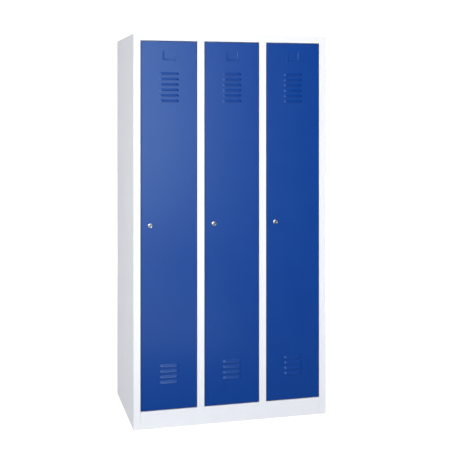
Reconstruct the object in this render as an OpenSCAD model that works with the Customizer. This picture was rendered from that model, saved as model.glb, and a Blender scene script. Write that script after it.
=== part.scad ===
// Three-door steel clothes locker, free-standing.
// X runs to the right, Y into the depth, Z up. The origin is at the middle of the footprint, on the floor.
// The doors face -Y. Each hinges on its right edge on two hidden pivot pins and locks on its left edge.

/* [Cabinet] */
// Overall width over the side panels
cabinet_w = 930; // [780:1:1200]
// Overall depth, from the door face to the back panel
cabinet_d = 500; // [380:1:650]
// Overall height, from the floor to the roof
cabinet_h = 1800; // [1450:1:2200]
// Thickness of the body sheet
sheet_t = 0.8; // [0.6:0.1:1.5]

/* [Front frame] */
// Visible width of the two outer stiles
stile_w = 32; // [24:1:50]
// Visible width of the two mullions between the doors
mullion_w = 34; // [26:1:60]
// Visible height of the rail above the doors
head_h = 30; // [24:1:60]
// Height of the plinth below the doors
plinth_h = 80; // [50:1:120]
// Gap between the back of a closed door and the door stop
stop_gap = 2.5; // [2:0.1:4]
// Width of the door stop lip
stop_lip = 12; // [8:1:15]

/* [Folded flanges] */
// Width of the flanges that join the body sheets
flange_w = 15; // [12:1:22]
// Gap beside the front flange of a partition, inside its mullion
flange_gap = 2; // [1:0.5:5]
// Width of the flanges that rest on the floor
foot_w = 22; // [15:1:30]

/* [Doors] */
// Thickness of the door sheet
door_t = 0.8; // [0.6:0.1:1]
// Gap between a door and the frame around it
door_gap = 3; // [2.5:0.1:4]
// Depth of the folded door pan
pan_depth = 20; // [16.5:0.5:26]
// Width of the inward lip round the back of the pan
pan_lip = 12; // [8:1:15]
// Width of the stiffening channel
stiffener_w = 36; // [30:1:44]
// Depth of the stiffening channel
stiffener_depth = 15; // [8:0.5:16]
// Distance from the right edge of the door to the middle of the stiffener
stiffener_inset = 56; // [50:1:60]
// Distance from the door ends to the ends of the stiffener
stiffener_end = 45; // [35:1:80]

/* [Louvres] */
// Number of louvres near the top of each door
top_vents = 6; // [2:1:8]
// Number of louvres near the bottom of each door
low_vents = 4; // [2:1:8]
// Spacing of the louvres
vent_pitch = 25; // [18:1:35]
// Overall length of a louvre
vent_len = 90; // [60:1:100]
// Height of a louvre above its slot
vent_h = 11; // [9:0.5:13]
// How far a louvre stands proud of the door
vent_out = 4.6; // [3.5:0.1:6]
// Distance from the top of the door to the highest slot
top_vent_drop = 152.5; // [120:0.5:200]
// Height of the lowest slot above the bottom of the door
low_vent_rise = 119.5; // [90:0.5:180]

/* [Label frame] */
// Width of the card holder
label_w = 62; // [50:1:80]
// Height of the card holder
label_h = 42; // [30:1:60]
// Width of its rails
label_rail = 7.5; // [4:0.5:10]
// Clear depth behind the rails for the card
label_slot = 1.6; // [0.8:0.1:2]
// Thickness of its sheet
label_t = 0.8; // [0.6:0.1:1.2]
// Distance from the top of the door to the top of the card holder
label_drop = 45; // [35:1:70]

/* [Pivot hinges] */
// Diameter of the pivot pins
pin_d = 5; // [4:0.1:6]
// Running clearance between a pin and its bush, on the radius
pin_clearance = 0.05; // [0.02:0.01:0.1]
// Distance from the right edge of the door to the pivot axis
pin_inset = 6.5; // [6:0.1:7]
// Distance from the door face to the pivot axis
pin_depth = 5; // [4.8:0.1:5.2]
// Outer diameter of the bush
bush_d = 8; // [7:0.1:8]
// Diameter of the bush collar
bush_collar_d = 9; // [8.6:0.1:9]
// Thickness of the bush collar
bush_collar_t = 1.4; // [1:0.1:1.6]
// Length of the bush body
bush_len = 8; // [5:0.5:10]
// Gap between faces that turn past each other
face_gap = 0.3; // [0.2:0.05:0.5]
// Clearance round the bush in its hole, on the radius
bush_seat_clearance = 0.02; // [0.02:0.01:0.05]
// Length of the block that carries a pin inside the door
block_len = 26; // [20:1:30]
// Height of that block
block_h = 8; // [5:0.5:12]

/* [Locks] */
// Height of the locks above the floor
lock_z = 925; // [800:1:1100]
// Distance from the left edge of the door to the lock axis
lock_inset = 43; // [40:0.5:46]
// How far the lock face reaches past the barrel all round
lock_face_rim = 2; // [1.5:0.1:4]
// How far the lock face stands proud of the door
lock_face_t = 2.2; // [1.5:0.1:3]
// Diameter of the lock barrel
barrel_d = 18; // [15:0.5:22]
// Clearance of the barrel in the door, on the radius
barrel_clearance = 0.2; // [0.1:0.05:0.4]
// Diameter of the turning plug
plug_d = 13; // [10.5:0.5:13.5]
// Running clearance of the plug, on the radius
plug_clearance = 0.05; // [0.02:0.01:0.1]
// How far the plug stands proud of the lock face
plug_out = 0.6; // [0.2:0.1:1]
// Width of the key slot
key_slot_w = 1.8; // [1.2:0.1:2.5]
// Height of the key slot
key_slot_h = 8; // [6:0.5:9]
// Depth of the key slot
key_slot_depth = 14; // [8:0.5:18]
// Thinnest wall of the lock nut, at its flats
nut_wall = 3; // [2:0.5:5]
// Thickness of the lock nut
nut_t = 4; // [3:0.5:6]
// Size of the square shank that drives the cam
shank_af = 7; // [6:0.5:8]
// Clearance of the cam on the shank, on each side
shank_clearance = 0.1; // [0.05:0.05:0.3]
// Width of the cam
cam_w = 16; // [14:0.5:18]
// Thickness of the cam
cam_t = 2; // [1.5:0.1:3]
// How far the cam reaches behind the door stop when it is locked
cam_catch = 8; // [5:0.5:10]
// Gap between the back of the door stop and the cam
cam_gap = 2.2; // [1.5:0.1:4]
// Diameter of the head of the cam screw
cam_screw_head_d = 10; // [9:0.5:12]
// Thickness of the head of the cam screw
cam_screw_head_t = 2.6; // [2:0.1:4]
// Thread diameter of the cam screw
cam_screw_d = 4; // [3:0.5:5]
// Length of the thread of the cam screw
cam_screw_len = 9; // [6:0.5:10]

/* [Door buffers] */
// Diameter of the rubber buffers on the door stop
buffer_d = 9; // [6:0.5:10]
// Gap between a buffer and the closed door
buffer_gap = 0.4; // [0.3:0.1:0.8]
// Distance from the door ends to the buffers
buffer_end = 120; // [80:5:250]

/* [Interior] */
// Clear height above the hat shelf
hat_h = 300; // [220:5:400]
// Distance from the door face to the front edge of the hat shelf
shelf_front = 50; // [45:1:80]
// Height of the turned-down shelf flanges
shelf_flange = 18; // [15:1:30]
// Distance from the underside of the shelf to the middle of the coat rail
rail_drop = 48; // [40:1:80]
// Height of the oval coat rail
rail_h = 30; // [24:1:36]
// Width of the oval coat rail
rail_w = 15; // [12:1:18]
// Wall of the coat rail
rail_wall = 1.2; // [1:0.1:2]
// Distance from the coat rail ends to the walls
rail_end_gap = 12; // [8:1:30]
// Depth of the cup that holds each end of the coat rail
cup_depth = 14; // [10:1:20]
// Wall of that cup
cup_wall = 2; // [1.5:0.1:3]
// Length of the foot of the rail bracket
bracket_len = 64; // [60:1:80]
// Thickness of the rail bracket
bracket_t = 2; // [1.5:0.1:3]
// Diameter of the rivets
rivet_d = 4; // [3:0.1:5]
// Diameter of the rivet heads
rivet_head_d = 8; // [6:0.1:9]
// Thickness of the rivet heads
rivet_head_t = 1.2; // [1:0.1:2]
// Distance from the ends of a bracket foot to its rivets
rivet_edge = 8; // [6:0.5:12]

/* [Coat hooks] */
// Distance from the middle of the rail to each hook
hook_offset = 60; // [50:1:80]
// Width of a hook along the rail
hook_w = 10; // [8:1:14]
// Thickness of the loop round the rail
hook_wall = 4; // [3:0.5:5]
// Clearance of the loop round the rail
hook_clearance = 0.4; // [0.3:0.1:0.8]
// Inner radius of the hook
hook_r = 14; // [10:1:18]
// Thickness of the hook below the loop
hook_t = 6; // [5:0.5:8]

/* [Wall fixings] */
// Spacing of the two wall-fixing holes
wall_hole_pitch = 600; // [400:10:840]
// Diameter of the wall-fixing holes
wall_hole_d = 9; // [6:0.5:12]
// Distance from the roof to the wall-fixing holes
wall_hole_drop = 60; // [40:1:90]

/* [Hidden] */
$fn = 48;
// Number of compartments
bays = 3;
// How far a cut runs past the faces it opens
over = 1;

// Colours
white_paint = "#f2f3f8";
grey_paint = "#d0d2d8";
blue_paint = "#2c4f98";
metal = "#c8cacc";
dark_metal = "#8c8f94";
rubber = "#303236";
plastic = "#e8e8e4";

// Front frame
front_y = -cabinet_d / 2;
back_y = cabinet_d / 2;
left_x = -cabinet_w / 2;
right_x = cabinet_w / 2;
opening_w = (cabinet_w - 2 * stile_w - (bays - 1) * mullion_w) / bays;
bay_pitch = opening_w + mullion_w;
opening_z0 = plinth_h;
opening_z1 = cabinet_h - head_h;
stop_depth = pan_depth + stop_gap;
stop_y = front_y + stop_depth;
frame_y1 = stop_y + sheet_t;
body_top = cabinet_h - sheet_t;
back_inner_y = back_y - sheet_t;
floor_top = plinth_h + stop_lip;

// Left edge of the opening of bay i, and the axis of the mullion to its right
function opening_x(i) = left_x + stile_w + (i - 1) * bay_pitch;
function mullion_x(i) = opening_x(i) + opening_w + mullion_w / 2;

// Inner width of bay i, between the side panel or partition on each side
function bay_x0(i) = i == 1 ? left_x + sheet_t : mullion_x(i - 1) + sheet_t / 2;
function bay_x1(i) = i == bays ? right_x - sheet_t : mullion_x(i) - sheet_t / 2;
function bay_mid(i) = (bay_x0(i) + bay_x1(i)) / 2;

// Doors
door_w = opening_w - 2 * door_gap;
door_z0 = opening_z0 + door_gap;
door_z1 = opening_z1 - door_gap;
door_h = door_z1 - door_z0;
pan_y1 = front_y + pan_depth;
function door_x(i) = opening_x(i) + door_gap;
function pivot_x(i) = door_x(i) + door_w - pin_inset;
function lock_x(i) = door_x(i) + lock_inset;
pivot_y = front_y + pin_depth;

// Louvres: a capsule lying along X, whose axis is behind the sheet
vent_r = (vent_h * vent_h + vent_out * vent_out) / (2 * vent_out);
vent_axis_depth = vent_r - vent_out;
vent_straight = vent_len - 2 * vent_h;
top_vent_z = door_z1 - top_vent_drop;
low_vent_z = door_z0 + low_vent_rise;
vent_slots = concat(
    [for (k = [0 : top_vents - 1]) top_vent_z - k * vent_pitch],
    [for (k = [0 : low_vents - 1]) low_vent_z + k * vent_pitch]
);

// Locks
cam_y0 = frame_y1 + cam_gap;
cam_len = lock_inset + door_gap - stop_lip + cam_catch;
barrel_y1 = cam_y0 - face_gap;
lock_face_d = barrel_d + 2 * lock_face_rim;
nut_af = barrel_d + 2 * nut_wall;
nut_y0 = front_y + door_t;

// Interior
shelf_top = body_top - hat_h;
shelf_y0 = front_y + shelf_front;
shelf_under = shelf_top - sheet_t;
rail_z = shelf_under - rail_drop;
rail_y = 0;
wall_hole_z = cabinet_h - wall_hole_drop;

// A box given by its two opposite corners
module block(low, high) {
    translate(low) cube(high - low);
}

// A rod along Y, from y0 to y1
module y_rod(x, y0, y1, z, r) {
    translate([x, y0, z]) rotate([-90, 0, 0]) cylinder(h = y1 - y0, r = r);
}

// A rod along Z, from z0 to z1
module z_rod(x, y, z0, z1, r) {
    translate([x, y, z0]) cylinder(h = z1 - z0, r = r);
}

// The outline of the oval coat rail, drawn with its height along Y, grown by g
module oval(g) {
    r = rail_w / 2 + g;
    rise = (rail_h - rail_w) / 2;
    for (side = [-1, 1]) translate([0, side * rise]) circle(r = r);
    translate([-r, -rise]) square([2 * r, 2 * rise]);
}

// An oval rod along X, from x0 to x1, grown by g
module oval_rod(x0, x1, g) {
    translate([x0, rail_y, rail_z]) rotate([90, 0, 90]) linear_extrude(x1 - x0) oval(g);
}

// ---- Body ----

// A side panel: the sheet folds round the front into the stile and the reveal, and ends in the door stop
module side_profile() {
    square([sheet_t, cabinet_d - sheet_t]);
    square([stile_w, sheet_t]);
    translate([stile_w - sheet_t, 0]) square([sheet_t, stop_depth + sheet_t]);
    translate([0, cabinet_d - 2 * sheet_t]) square([flange_w, sheet_t]);
}

module left_side() {
    stop_x = left_x + stile_w;
    color(grey_paint) {
        translate([left_x, front_y, 0]) linear_extrude(body_top) side_profile();
        block([stop_x - sheet_t, stop_y, opening_z0], [stop_x + stop_lip, frame_y1, opening_z1]);
        block(
            [left_x + sheet_t, frame_y1, 0],
            [left_x + foot_w, back_y - 2 * sheet_t - foot_w, sheet_t]
        );
    }
}

module right_side() {
    mirror([1, 0, 0]) left_side();
}

// A mullion: a channel with a door stop on each side, open to the back
module mullion(i) {
    half = mullion_w / 2;
    x = mullion_x(i);
    color(white_paint) translate([x, front_y, opening_z0]) linear_extrude(opening_z1 - opening_z0) {
        translate([-half, 0]) square([mullion_w, sheet_t]);
        for (side = [0, 1]) mirror([side, 0]) {
            translate([half - sheet_t, 0]) square([sheet_t, stop_depth + sheet_t]);
            translate([half - sheet_t, stop_depth]) square([stop_lip + sheet_t, sheet_t]);
        }
    }
}

// A partition: a flat sheet from the mullion to the back, with flanges at the front, back, top and bottom
module partition(i) {
    x0 = mullion_x(i) - sheet_t / 2;
    x1 = mullion_x(i) + sheet_t / 2;
    y0 = front_y + sheet_t;
    flange_y = back_inner_y - sheet_t;
    weld_x = mullion_x(i) + mullion_w / 2 - sheet_t - flange_gap;
    color(grey_paint) {
        block([x0, y0, floor_top], [x1, back_inner_y, opening_z1 - stop_lip]);
        block([x0, frame_y1, opening_z1 - stop_lip], [x1, back_inner_y, body_top]);
        block([x1, y0, floor_top], [weld_x, y0 + sheet_t, opening_z1 - stop_lip]);
        block([x1, flange_y, floor_top], [x1 + flange_w, back_inner_y, body_top]);
        block([x1, frame_y1 + flange_w, floor_top], [x1 + flange_w, flange_y, floor_top + sheet_t]);
        block([x1, frame_y1 + flange_w, body_top - sheet_t], [x1 + flange_w, flange_y, body_top]);
    }
}

module back_panel() {
    color(grey_paint) difference() {
        block([left_x, back_inner_y, 0], [right_x, back_y, body_top]);
        for (side = [-1, 1]) {
            y_rod(side * wall_hole_pitch / 2, back_inner_y - over, back_y + over, wall_hole_z, wall_hole_d / 2);
        }
    }
}

// The roof: a flat cap with a flange down inside each side panel and inside the back
module roof_panel() {
    flange_z = body_top - flange_w;
    y0 = frame_y1 + flange_w;
    y1 = back_inner_y - sheet_t - flange_w;
    color(white_paint) {
        block([left_x, front_y, body_top], [right_x, back_y, cabinet_h]);
        for (side = [0, 1]) mirror([side, 0, 0]) {
            block([left_x + sheet_t, y0, flange_z], [left_x + 2 * sheet_t, y1, body_top]);
        }
    }
}

// The floor of the compartments, with a flange down inside each side panel
module floor_panel() {
    y1 = back_inner_y - sheet_t;
    color(grey_paint) {
        block([left_x + sheet_t, frame_y1, floor_top - sheet_t], [right_x - sheet_t, y1, floor_top]);
        for (side = [0, 1]) mirror([side, 0, 0]) block(
            [left_x + sheet_t, frame_y1 + flange_w, floor_top - flange_w],
            [left_x + 2 * sheet_t, y1 - flange_w, floor_top - sheet_t]
        );
    }
}

// The hole in a rail for the bush of door i
module bush_hole(i, z) {
    z_rod(pivot_x(i), pivot_y, z - 2 * sheet_t, z + 2 * sheet_t, bush_d / 2 + bush_seat_clearance);
}

// The rail above the doors, between the stiles, with a stop for each door
module head_rail() {
    color(white_paint) difference() {
        union() {
            block([opening_x(1), front_y, opening_z1], [-opening_x(1), front_y + sheet_t, body_top]);
            block([opening_x(1), front_y, opening_z1], [-opening_x(1), frame_y1, opening_z1 + sheet_t]);
            for (i = [1 : bays]) block(
                [opening_x(i) + stop_lip, stop_y, opening_z1 - stop_lip],
                [opening_x(i) + opening_w - stop_lip, frame_y1, opening_z1 + sheet_t]
            );
            block([opening_x(1), stop_y, opening_z1], [-opening_x(1), frame_y1, body_top]);
        }
        for (i = [1 : bays]) bush_hole(i, opening_z1);
    }
}

// The plinth across the front, with a stop for each door and a flange on the floor
module plinth_front() {
    inner_x = opening_x(1);
    color(white_paint) difference() {
        union() {
            block([inner_x, front_y, 0], [-inner_x, front_y + sheet_t, plinth_h]);
            block([inner_x, front_y, 0], [-inner_x, front_y + foot_w, sheet_t]);
            block([inner_x, front_y, plinth_h - sheet_t], [-inner_x, frame_y1, plinth_h]);
            for (i = [1 : bays]) block(
                [opening_x(i) + stop_lip, stop_y, plinth_h - sheet_t],
                [opening_x(i) + opening_w - stop_lip, frame_y1, floor_top]
            );
        }
        for (i = [1 : bays]) bush_hole(i, plinth_h);
    }
}

// The plinth across the back, a channel that carries the floor panel
module plinth_rear() {
    y1 = back_inner_y - sheet_t;
    y0 = y1 - foot_w;
    x0 = left_x + 2 * sheet_t;
    color(grey_paint) {
        block([x0, y1 - sheet_t, 0], [-x0, y1, floor_top - sheet_t]);
        block([x0, y0, 0], [-x0, y1 - sheet_t, sheet_t]);
        block([x0, y0, floor_top - 2 * sheet_t], [-x0, y1 - sheet_t, floor_top - sheet_t]);
    }
}

// One bush: the collar faces the door and the body goes into the rail
module bush(i, z, up) {
    bore = pin_d / 2 + pin_clearance;
    translate([pivot_x(i), pivot_y, z]) mirror([0, 0, up ? 0 : 1]) difference() {
        union() {
            translate([0, 0, -bush_collar_t]) cylinder(h = bush_collar_t, d = bush_collar_d);
            translate([0, 0, -bush_collar_t]) cylinder(h = bush_len + bush_collar_t, d = bush_d);
        }
        translate([0, 0, -bush_collar_t - over]) cylinder(h = bush_len + bush_collar_t + 2 * over, r = bore);
    }
}

module pivot_bushes() {
    color(plastic) for (i = [1 : bays]) {
        bush(i, opening_z1, true);
        bush(i, opening_z0, false);
    }
}

// Two soft buffers on the lock side of each opening, with a stem through the stop
module door_buffers() {
    x_in = stop_lip / 2;
    color(rubber) for (i = [1 : bays]) for (z = [door_z0 + buffer_end, door_z1 - buffer_end]) {
        y_rod(opening_x(i) + x_in, pan_y1 + buffer_gap, stop_y, z, buffer_d / 2);
    }
}

// ---- Doors ----

// The capsule of a louvre: a quarter turn about its axis, above its slot
module vent_body(r, z, x_mid) {
    translate([x_mid, front_y + vent_axis_depth, z]) rotate([180, 90, 0]) rotate_extrude(angle = 90)
        intersection() {
            union() {
                for (side = [-1, 1]) translate([0, side * vent_straight / 2]) circle(r = r);
                translate([0, -vent_straight / 2]) square([r, vent_straight]);
            }
            translate([0, -vent_len]) square([2 * r, 2 * vent_len]);
        }
}

// A door: a folded pan with louvres pressed out of its face
module door_skin(i) {
    x0 = door_x(i);
    x1 = x0 + door_w;
    x_mid = x0 + door_w / 2;
    y1 = pan_y1;
    lip_y = y1 - door_t;
    color(blue_paint) difference() {
        union() {
            block([x0, front_y, door_z0], [x1, front_y + door_t, door_z1]);
            intersection() {
                for (z = vent_slots) vent_body(vent_r, z, x_mid);
                block(
                    [x0, front_y - 2 * vent_out, door_z0],
                    [x1, front_y + door_t, door_z1]
                );
            }
            difference() {
                block([x0, front_y, door_z0], [x1, y1, door_z1]);
                block(
                    [x0 + door_t, front_y - over, door_z0 + door_t],
                    [x1 - door_t, lip_y, door_z1 - door_t]
                );
                block(
                    [x0 + pan_lip, front_y, door_z0 + pan_lip],
                    [x1 - pan_lip, y1 + over, door_z1 - pan_lip]
                );
            }
        }
        for (z = vent_slots) vent_body(vent_r - door_t, z, x_mid);
        y_rod(lock_x(i), front_y - over, front_y + 2 * door_t, lock_z, barrel_d / 2 + barrel_clearance);
        z_rod(pivot_x(i), pivot_y, door_z0 - over, door_z0 + 2 * door_t, pin_d / 2);
        z_rod(pivot_x(i), pivot_y, door_z1 - 2 * door_t, door_z1 + over, pin_d / 2);
    }
}

// The stiffener: a hat-shaped channel behind the face, with two feet on the face
module door_stiffener(i) {
    x_mid = door_x(i) + door_w - stiffener_inset;
    half = stiffener_w / 2;
    foot = half / 2;
    z0 = door_z0 + stiffener_end;
    z1 = door_z1 - stiffener_end;
    color(blue_paint) translate([x_mid, front_y + door_t, z0]) linear_extrude(z1 - z0) {
        for (side = [0, 1]) mirror([side, 0]) {
            translate([foot, 0]) square([half - foot, door_t]);
            translate([foot, 0]) square([door_t, stiffener_depth]);
        }
        translate([-foot, stiffener_depth - door_t]) square([2 * foot, door_t]);
    }
}

// The card holder: a channel round three sides, open at the top
module label_frame(i) {
    x0 = door_x(i) + (door_w - label_w) / 2;
    x1 = x0 + label_w;
    z1 = door_z1 - label_drop;
    z0 = z1 - label_h;
    y1 = front_y;
    y0 = front_y - label_slot - label_t;
    color(blue_paint) difference() {
        block([x0, y0, z0], [x1, y1, z1]);
        block([x0 + label_t, y0 + label_t, z0 + label_t], [x1 - label_t, y1 + over, z1 + over]);
        block([x0 + label_rail, y0 - over, z0 + label_rail], [x1 - label_rail, y1 + over, z1 + over]);
    }
}

// The blocks welded in the right-hand corners of the pan, bored for the pins
module pivot_blocks(i) {
    x1 = door_x(i) + door_w - door_t;
    x0 = x1 - block_len;
    y0 = front_y + door_t;
    y1 = pan_y1 - door_t;
    color(metal) for (low = [true, false]) {
        z0 = low ? door_z0 + door_t : door_z1 - door_t - block_h;
        difference() {
            block([x0, y0, z0], [x1, y1, z0 + block_h]);
            z_rod(pivot_x(i), pivot_y, z0 - over, z0 + block_h + over, pin_d / 2);
        }
    }
}

// The pins, pressed in the blocks, with a washer-like shoulder outside the door
module pivot_pins(i) {
    shoulder_t = door_gap - bush_collar_t - face_gap;
    reach = door_gap + bush_len - over;
    color(metal) translate([pivot_x(i), pivot_y, 0]) {
        rotate_extrude() polygon([
            [0, door_z1 - door_t - block_h], [pin_d / 2, door_z1 - door_t - block_h], [pin_d / 2, door_z1],
            [bush_d / 2, door_z1], [bush_d / 2, door_z1 + shoulder_t], [pin_d / 2, door_z1 + shoulder_t],
            [pin_d / 2, door_z1 + reach], [0, door_z1 + reach]
        ]);
        rotate_extrude() polygon([
            [0, door_z0 - reach], [pin_d / 2, door_z0 - reach], [pin_d / 2, door_z0 - shoulder_t],
            [bush_d / 2, door_z0 - shoulder_t], [bush_d / 2, door_z0], [pin_d / 2, door_z0],
            [pin_d / 2, door_z0 + door_t + block_h], [0, door_z0 + door_t + block_h]
        ]);
    }
}

// ---- Locks ----

// The lock body: a face ring, a threaded barrel through the door and a bore for the plug
module lock_body(i) {
    face_y = front_y - lock_face_t;
    x = lock_x(i);
    color(metal) difference() {
        union() {
            y_rod(x, face_y, front_y, lock_z, lock_face_d / 2);
            y_rod(x, face_y, barrel_y1, lock_z, barrel_d / 2);
        }
        y_rod(x, face_y - over, barrel_y1 + over, lock_z, plug_d / 2 + plug_clearance);
    }
}

// The hexagonal nut that holds the lock in the door
module lock_nut(i) {
    x = lock_x(i);
    across = nut_af / cos(30);
    color(dark_metal) difference() {
        translate([x, nut_y0, lock_z]) rotate([-90, 0, 0]) cylinder(h = nut_t, d = across, $fn = 6);
        y_rod(x, nut_y0 - over, nut_y0 + nut_t + over, lock_z, barrel_d / 2);
    }
}

// The turning plug: a key slot at the front, a square shank and a thread hole at the back
module lock_plug(i) {
    x = lock_x(i);
    y0 = front_y - lock_face_t - plug_out;
    shank_y1 = cam_y0 + cam_t;
    half_slot = key_slot_w / 2;
    half_key = key_slot_h / 2;
    half_shank = shank_af / 2;
    color(metal) difference() {
        union() {
            y_rod(x, y0, cam_y0, lock_z, plug_d / 2);
            block([x - half_shank, cam_y0 - over, lock_z - half_shank], [x + half_shank, shank_y1, lock_z + half_shank]);
        }
        block(
            [x - half_slot, y0 - over, lock_z - half_key],
            [x + half_slot, y0 + key_slot_depth, lock_z + half_key]
        );
        y_rod(x, shank_y1 - cam_screw_len, shank_y1 + over, lock_z, cam_screw_d / 2);
    }
}

// The cam: it hangs down while the lock is open and turns behind the stop to the left
module lock_cam(i) {
    x = lock_x(i);
    half = cam_w / 2;
    hole = shank_af / 2 + shank_clearance;
    color(metal) difference() {
        union() {
            block([x - half, cam_y0, lock_z - cam_len + half], [x + half, cam_y0 + cam_t, lock_z]);
            y_rod(x, cam_y0, cam_y0 + cam_t, lock_z, half);
            y_rod(x, cam_y0, cam_y0 + cam_t, lock_z - cam_len + half, half);
        }
        block([x - hole, cam_y0 - over, lock_z - hole], [x + hole, cam_y0 + cam_t + over, lock_z + hole]);
    }
}

// The screw that holds the cam on the plug
module cam_screw(i) {
    x = lock_x(i);
    y0 = cam_y0 + cam_t;
    color(dark_metal) {
        y_rod(x, y0 - cam_screw_len, y0 + cam_screw_head_t, lock_z, cam_screw_d / 2);
        y_rod(x, y0, y0 + cam_screw_head_t, lock_z, cam_screw_head_d / 2);
    }
}

// ---- Interior ----

// A hat shelf: a tray with its four edges turned down, drilled for the rail brackets
module hat_shelf(i) {
    x0 = bay_x0(i);
    x1 = bay_x1(i);
    y1 = back_inner_y;
    color(grey_paint) difference() {
        block([x0, shelf_y0, shelf_top - shelf_flange], [x1, y1 - sheet_t, shelf_top]);
        block(
            [x0 + sheet_t, shelf_y0 + sheet_t, shelf_top - shelf_flange - over],
            [x1 - sheet_t, y1 - 2 * sheet_t, shelf_under]
        );
        for (at = rivet_places(i)) z_rod(at[0], at[1], shelf_under - over, shelf_top + over, rivet_d / 2);
    }
}

// Left and right rail brackets of bay i: the middle of each foot
function bracket_x(i, side) = side < 0 ? bay_x0(i) + rail_end_gap : bay_x1(i) - rail_end_gap;

// Two rivets in each bracket foot
function rivet_places(i) = [
    for (side = [-1, 1]) for (end = [-1, 1])
        [bracket_x(i, side) - side * cup_depth / 2, rail_y + end * (bracket_len / 2 - rivet_edge)]
];

// The coat rail: an oval tube between its two end cups
module coat_rail(i) {
    x0 = bracket_x(i, -1) + cup_wall;
    x1 = bracket_x(i, 1) - cup_wall;
    color(metal) difference() {
        oval_rod(x0, x1, 0);
        oval_rod(x0 - over, x1 + over, -rail_wall);
    }
}

// A rail bracket: a foot under the shelf, a web down to the rail and a cup round the rail end
module rail_bracket(i, side) {
    outer = bracket_x(i, side);
    inner = outer - side * cup_depth;
    x0 = min(outer, inner);
    x1 = max(outer, inner);
    half = bracket_len / 2;
    web = rail_w / 2 + cup_wall;
    difference() {
        union() {
            block([x0, rail_y - half, shelf_under - bracket_t], [x1, rail_y + half, shelf_under]);
            block([x0, rail_y - web, rail_z + rail_h / 2 - rail_w / 2], [x1, rail_y + web, shelf_under - bracket_t]);
            oval_rod(x0, x1, cup_wall);
        }
        oval_rod(min(inner, outer - side * cup_wall) - (side > 0 ? over : 0),
            max(inner, outer - side * cup_wall) + (side < 0 ? over : 0), 0);
        for (end = [-1, 1]) {
            y = rail_y + end * (half - rivet_edge);
            z_rod((x0 + x1) / 2, y, shelf_under - bracket_t - over, shelf_under + over, rivet_d / 2);
        }
    }
}

module rail_brackets() {
    color(plastic) for (i = [1 : bays]) for (side = [-1, 1]) rail_bracket(i, side);
}

// Rivets through each bracket foot and the shelf, with a head on each side
module bracket_rivets() {
    z0 = shelf_under - bracket_t;
    color(metal) for (i = [1 : bays]) for (at = rivet_places(i)) {
        z_rod(at[0], at[1], z0 - rivet_head_t, shelf_top + rivet_head_t, rivet_d / 2);
        z_rod(at[0], at[1], z0 - rivet_head_t, z0, rivet_head_d / 2);
        z_rod(at[0], at[1], shelf_top, shelf_top + rivet_head_t, rivet_head_d / 2);
    }
}

// A coat hook: a loop that slides on the rail and a hook below it
module coat_hook(number) {
    i = ceil(number / 2);
    side = number % 2 == 0 ? 1 : -1;
    x0 = bay_mid(i) + side * hook_offset - hook_w / 2;
    inner = hook_clearance;
    outer = hook_clearance + hook_wall;
    ring_z = -rail_h / 2 - outer - hook_r;
    mid_r = hook_r + hook_t / 2;
    color(plastic) translate([x0, rail_y, rail_z]) rotate([90, 0, 90]) {
        linear_extrude(hook_w) difference() {
            oval(outer);
            oval(inner);
        }
        linear_extrude(hook_w) {
            translate([-hook_t / 2, -rail_h / 2 - outer - hook_t]) square([hook_t, hook_t + hook_wall / 2]);
            translate([0, ring_z - hook_t]) difference() {
                circle(r = hook_r + hook_t);
                circle(r = hook_r);
                translate([-2 * mid_r, 0]) square([2 * mid_r, 2 * mid_r]);
            }
            translate([-mid_r, ring_z - hook_t]) circle(d = hook_t);
        }
    }
}

left_side();
right_side();
partition(1);  // left_partition
partition(2);  // right_partition
mullion(1);  // left_mullion
mullion(2);  // right_mullion
back_panel();
roof_panel();
floor_panel();
head_rail();
plinth_front();
plinth_rear();
pivot_bushes();
door_buffers();
hat_shelf(1);  // hat_shelf_1
hat_shelf(2);  // hat_shelf_2
hat_shelf(3);  // hat_shelf_3
coat_rail(1);  // coat_rail_1
coat_rail(2);  // coat_rail_2
coat_rail(3);  // coat_rail_3
rail_brackets();
bracket_rivets();
door_skin(1);  // door_skin_1
door_skin(2);  // door_skin_2
door_skin(3);  // door_skin_3
door_stiffener(1);  // door_stiffener_1
door_stiffener(2);  // door_stiffener_2
door_stiffener(3);  // door_stiffener_3
label_frame(1);  // label_frame_1
label_frame(2);  // label_frame_2
label_frame(3);  // label_frame_3
pivot_blocks(1);  // pivot_blocks_1
pivot_blocks(2);  // pivot_blocks_2
pivot_blocks(3);  // pivot_blocks_3
pivot_pins(1);  // pivot_pins_1
pivot_pins(2);  // pivot_pins_2
pivot_pins(3);  // pivot_pins_3
lock_body(1);  // lock_body_1
lock_body(2);  // lock_body_2
lock_body(3);  // lock_body_3
lock_nut(1);  // lock_nut_1
lock_nut(2);  // lock_nut_2
lock_nut(3);  // lock_nut_3
lock_plug(1);  // lock_plug_1
lock_plug(2);  // lock_plug_2
lock_plug(3);  // lock_plug_3
lock_cam(1);  // lock_cam_1
lock_cam(2);  // lock_cam_2
lock_cam(3);  // lock_cam_3
cam_screw(1);  // cam_screw_1
cam_screw(2);  // cam_screw_2
cam_screw(3);  // cam_screw_3
coat_hook(1);  // coat_hook_1
coat_hook(2);  // coat_hook_2
coat_hook(3);  // coat_hook_3
coat_hook(4);  // coat_hook_4
coat_hook(5);  // coat_hook_5
coat_hook(6);  // coat_hook_6
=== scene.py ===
"""Finished looks of a three-door steel clothes locker: folded sheets, doors, locks, rails and hooks.

Every piece is placed from the packed model's own boxes and rides on one of its bodies.
"""

import math

import bmesh
import bpy
from mathutils import Matrix, Vector


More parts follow.
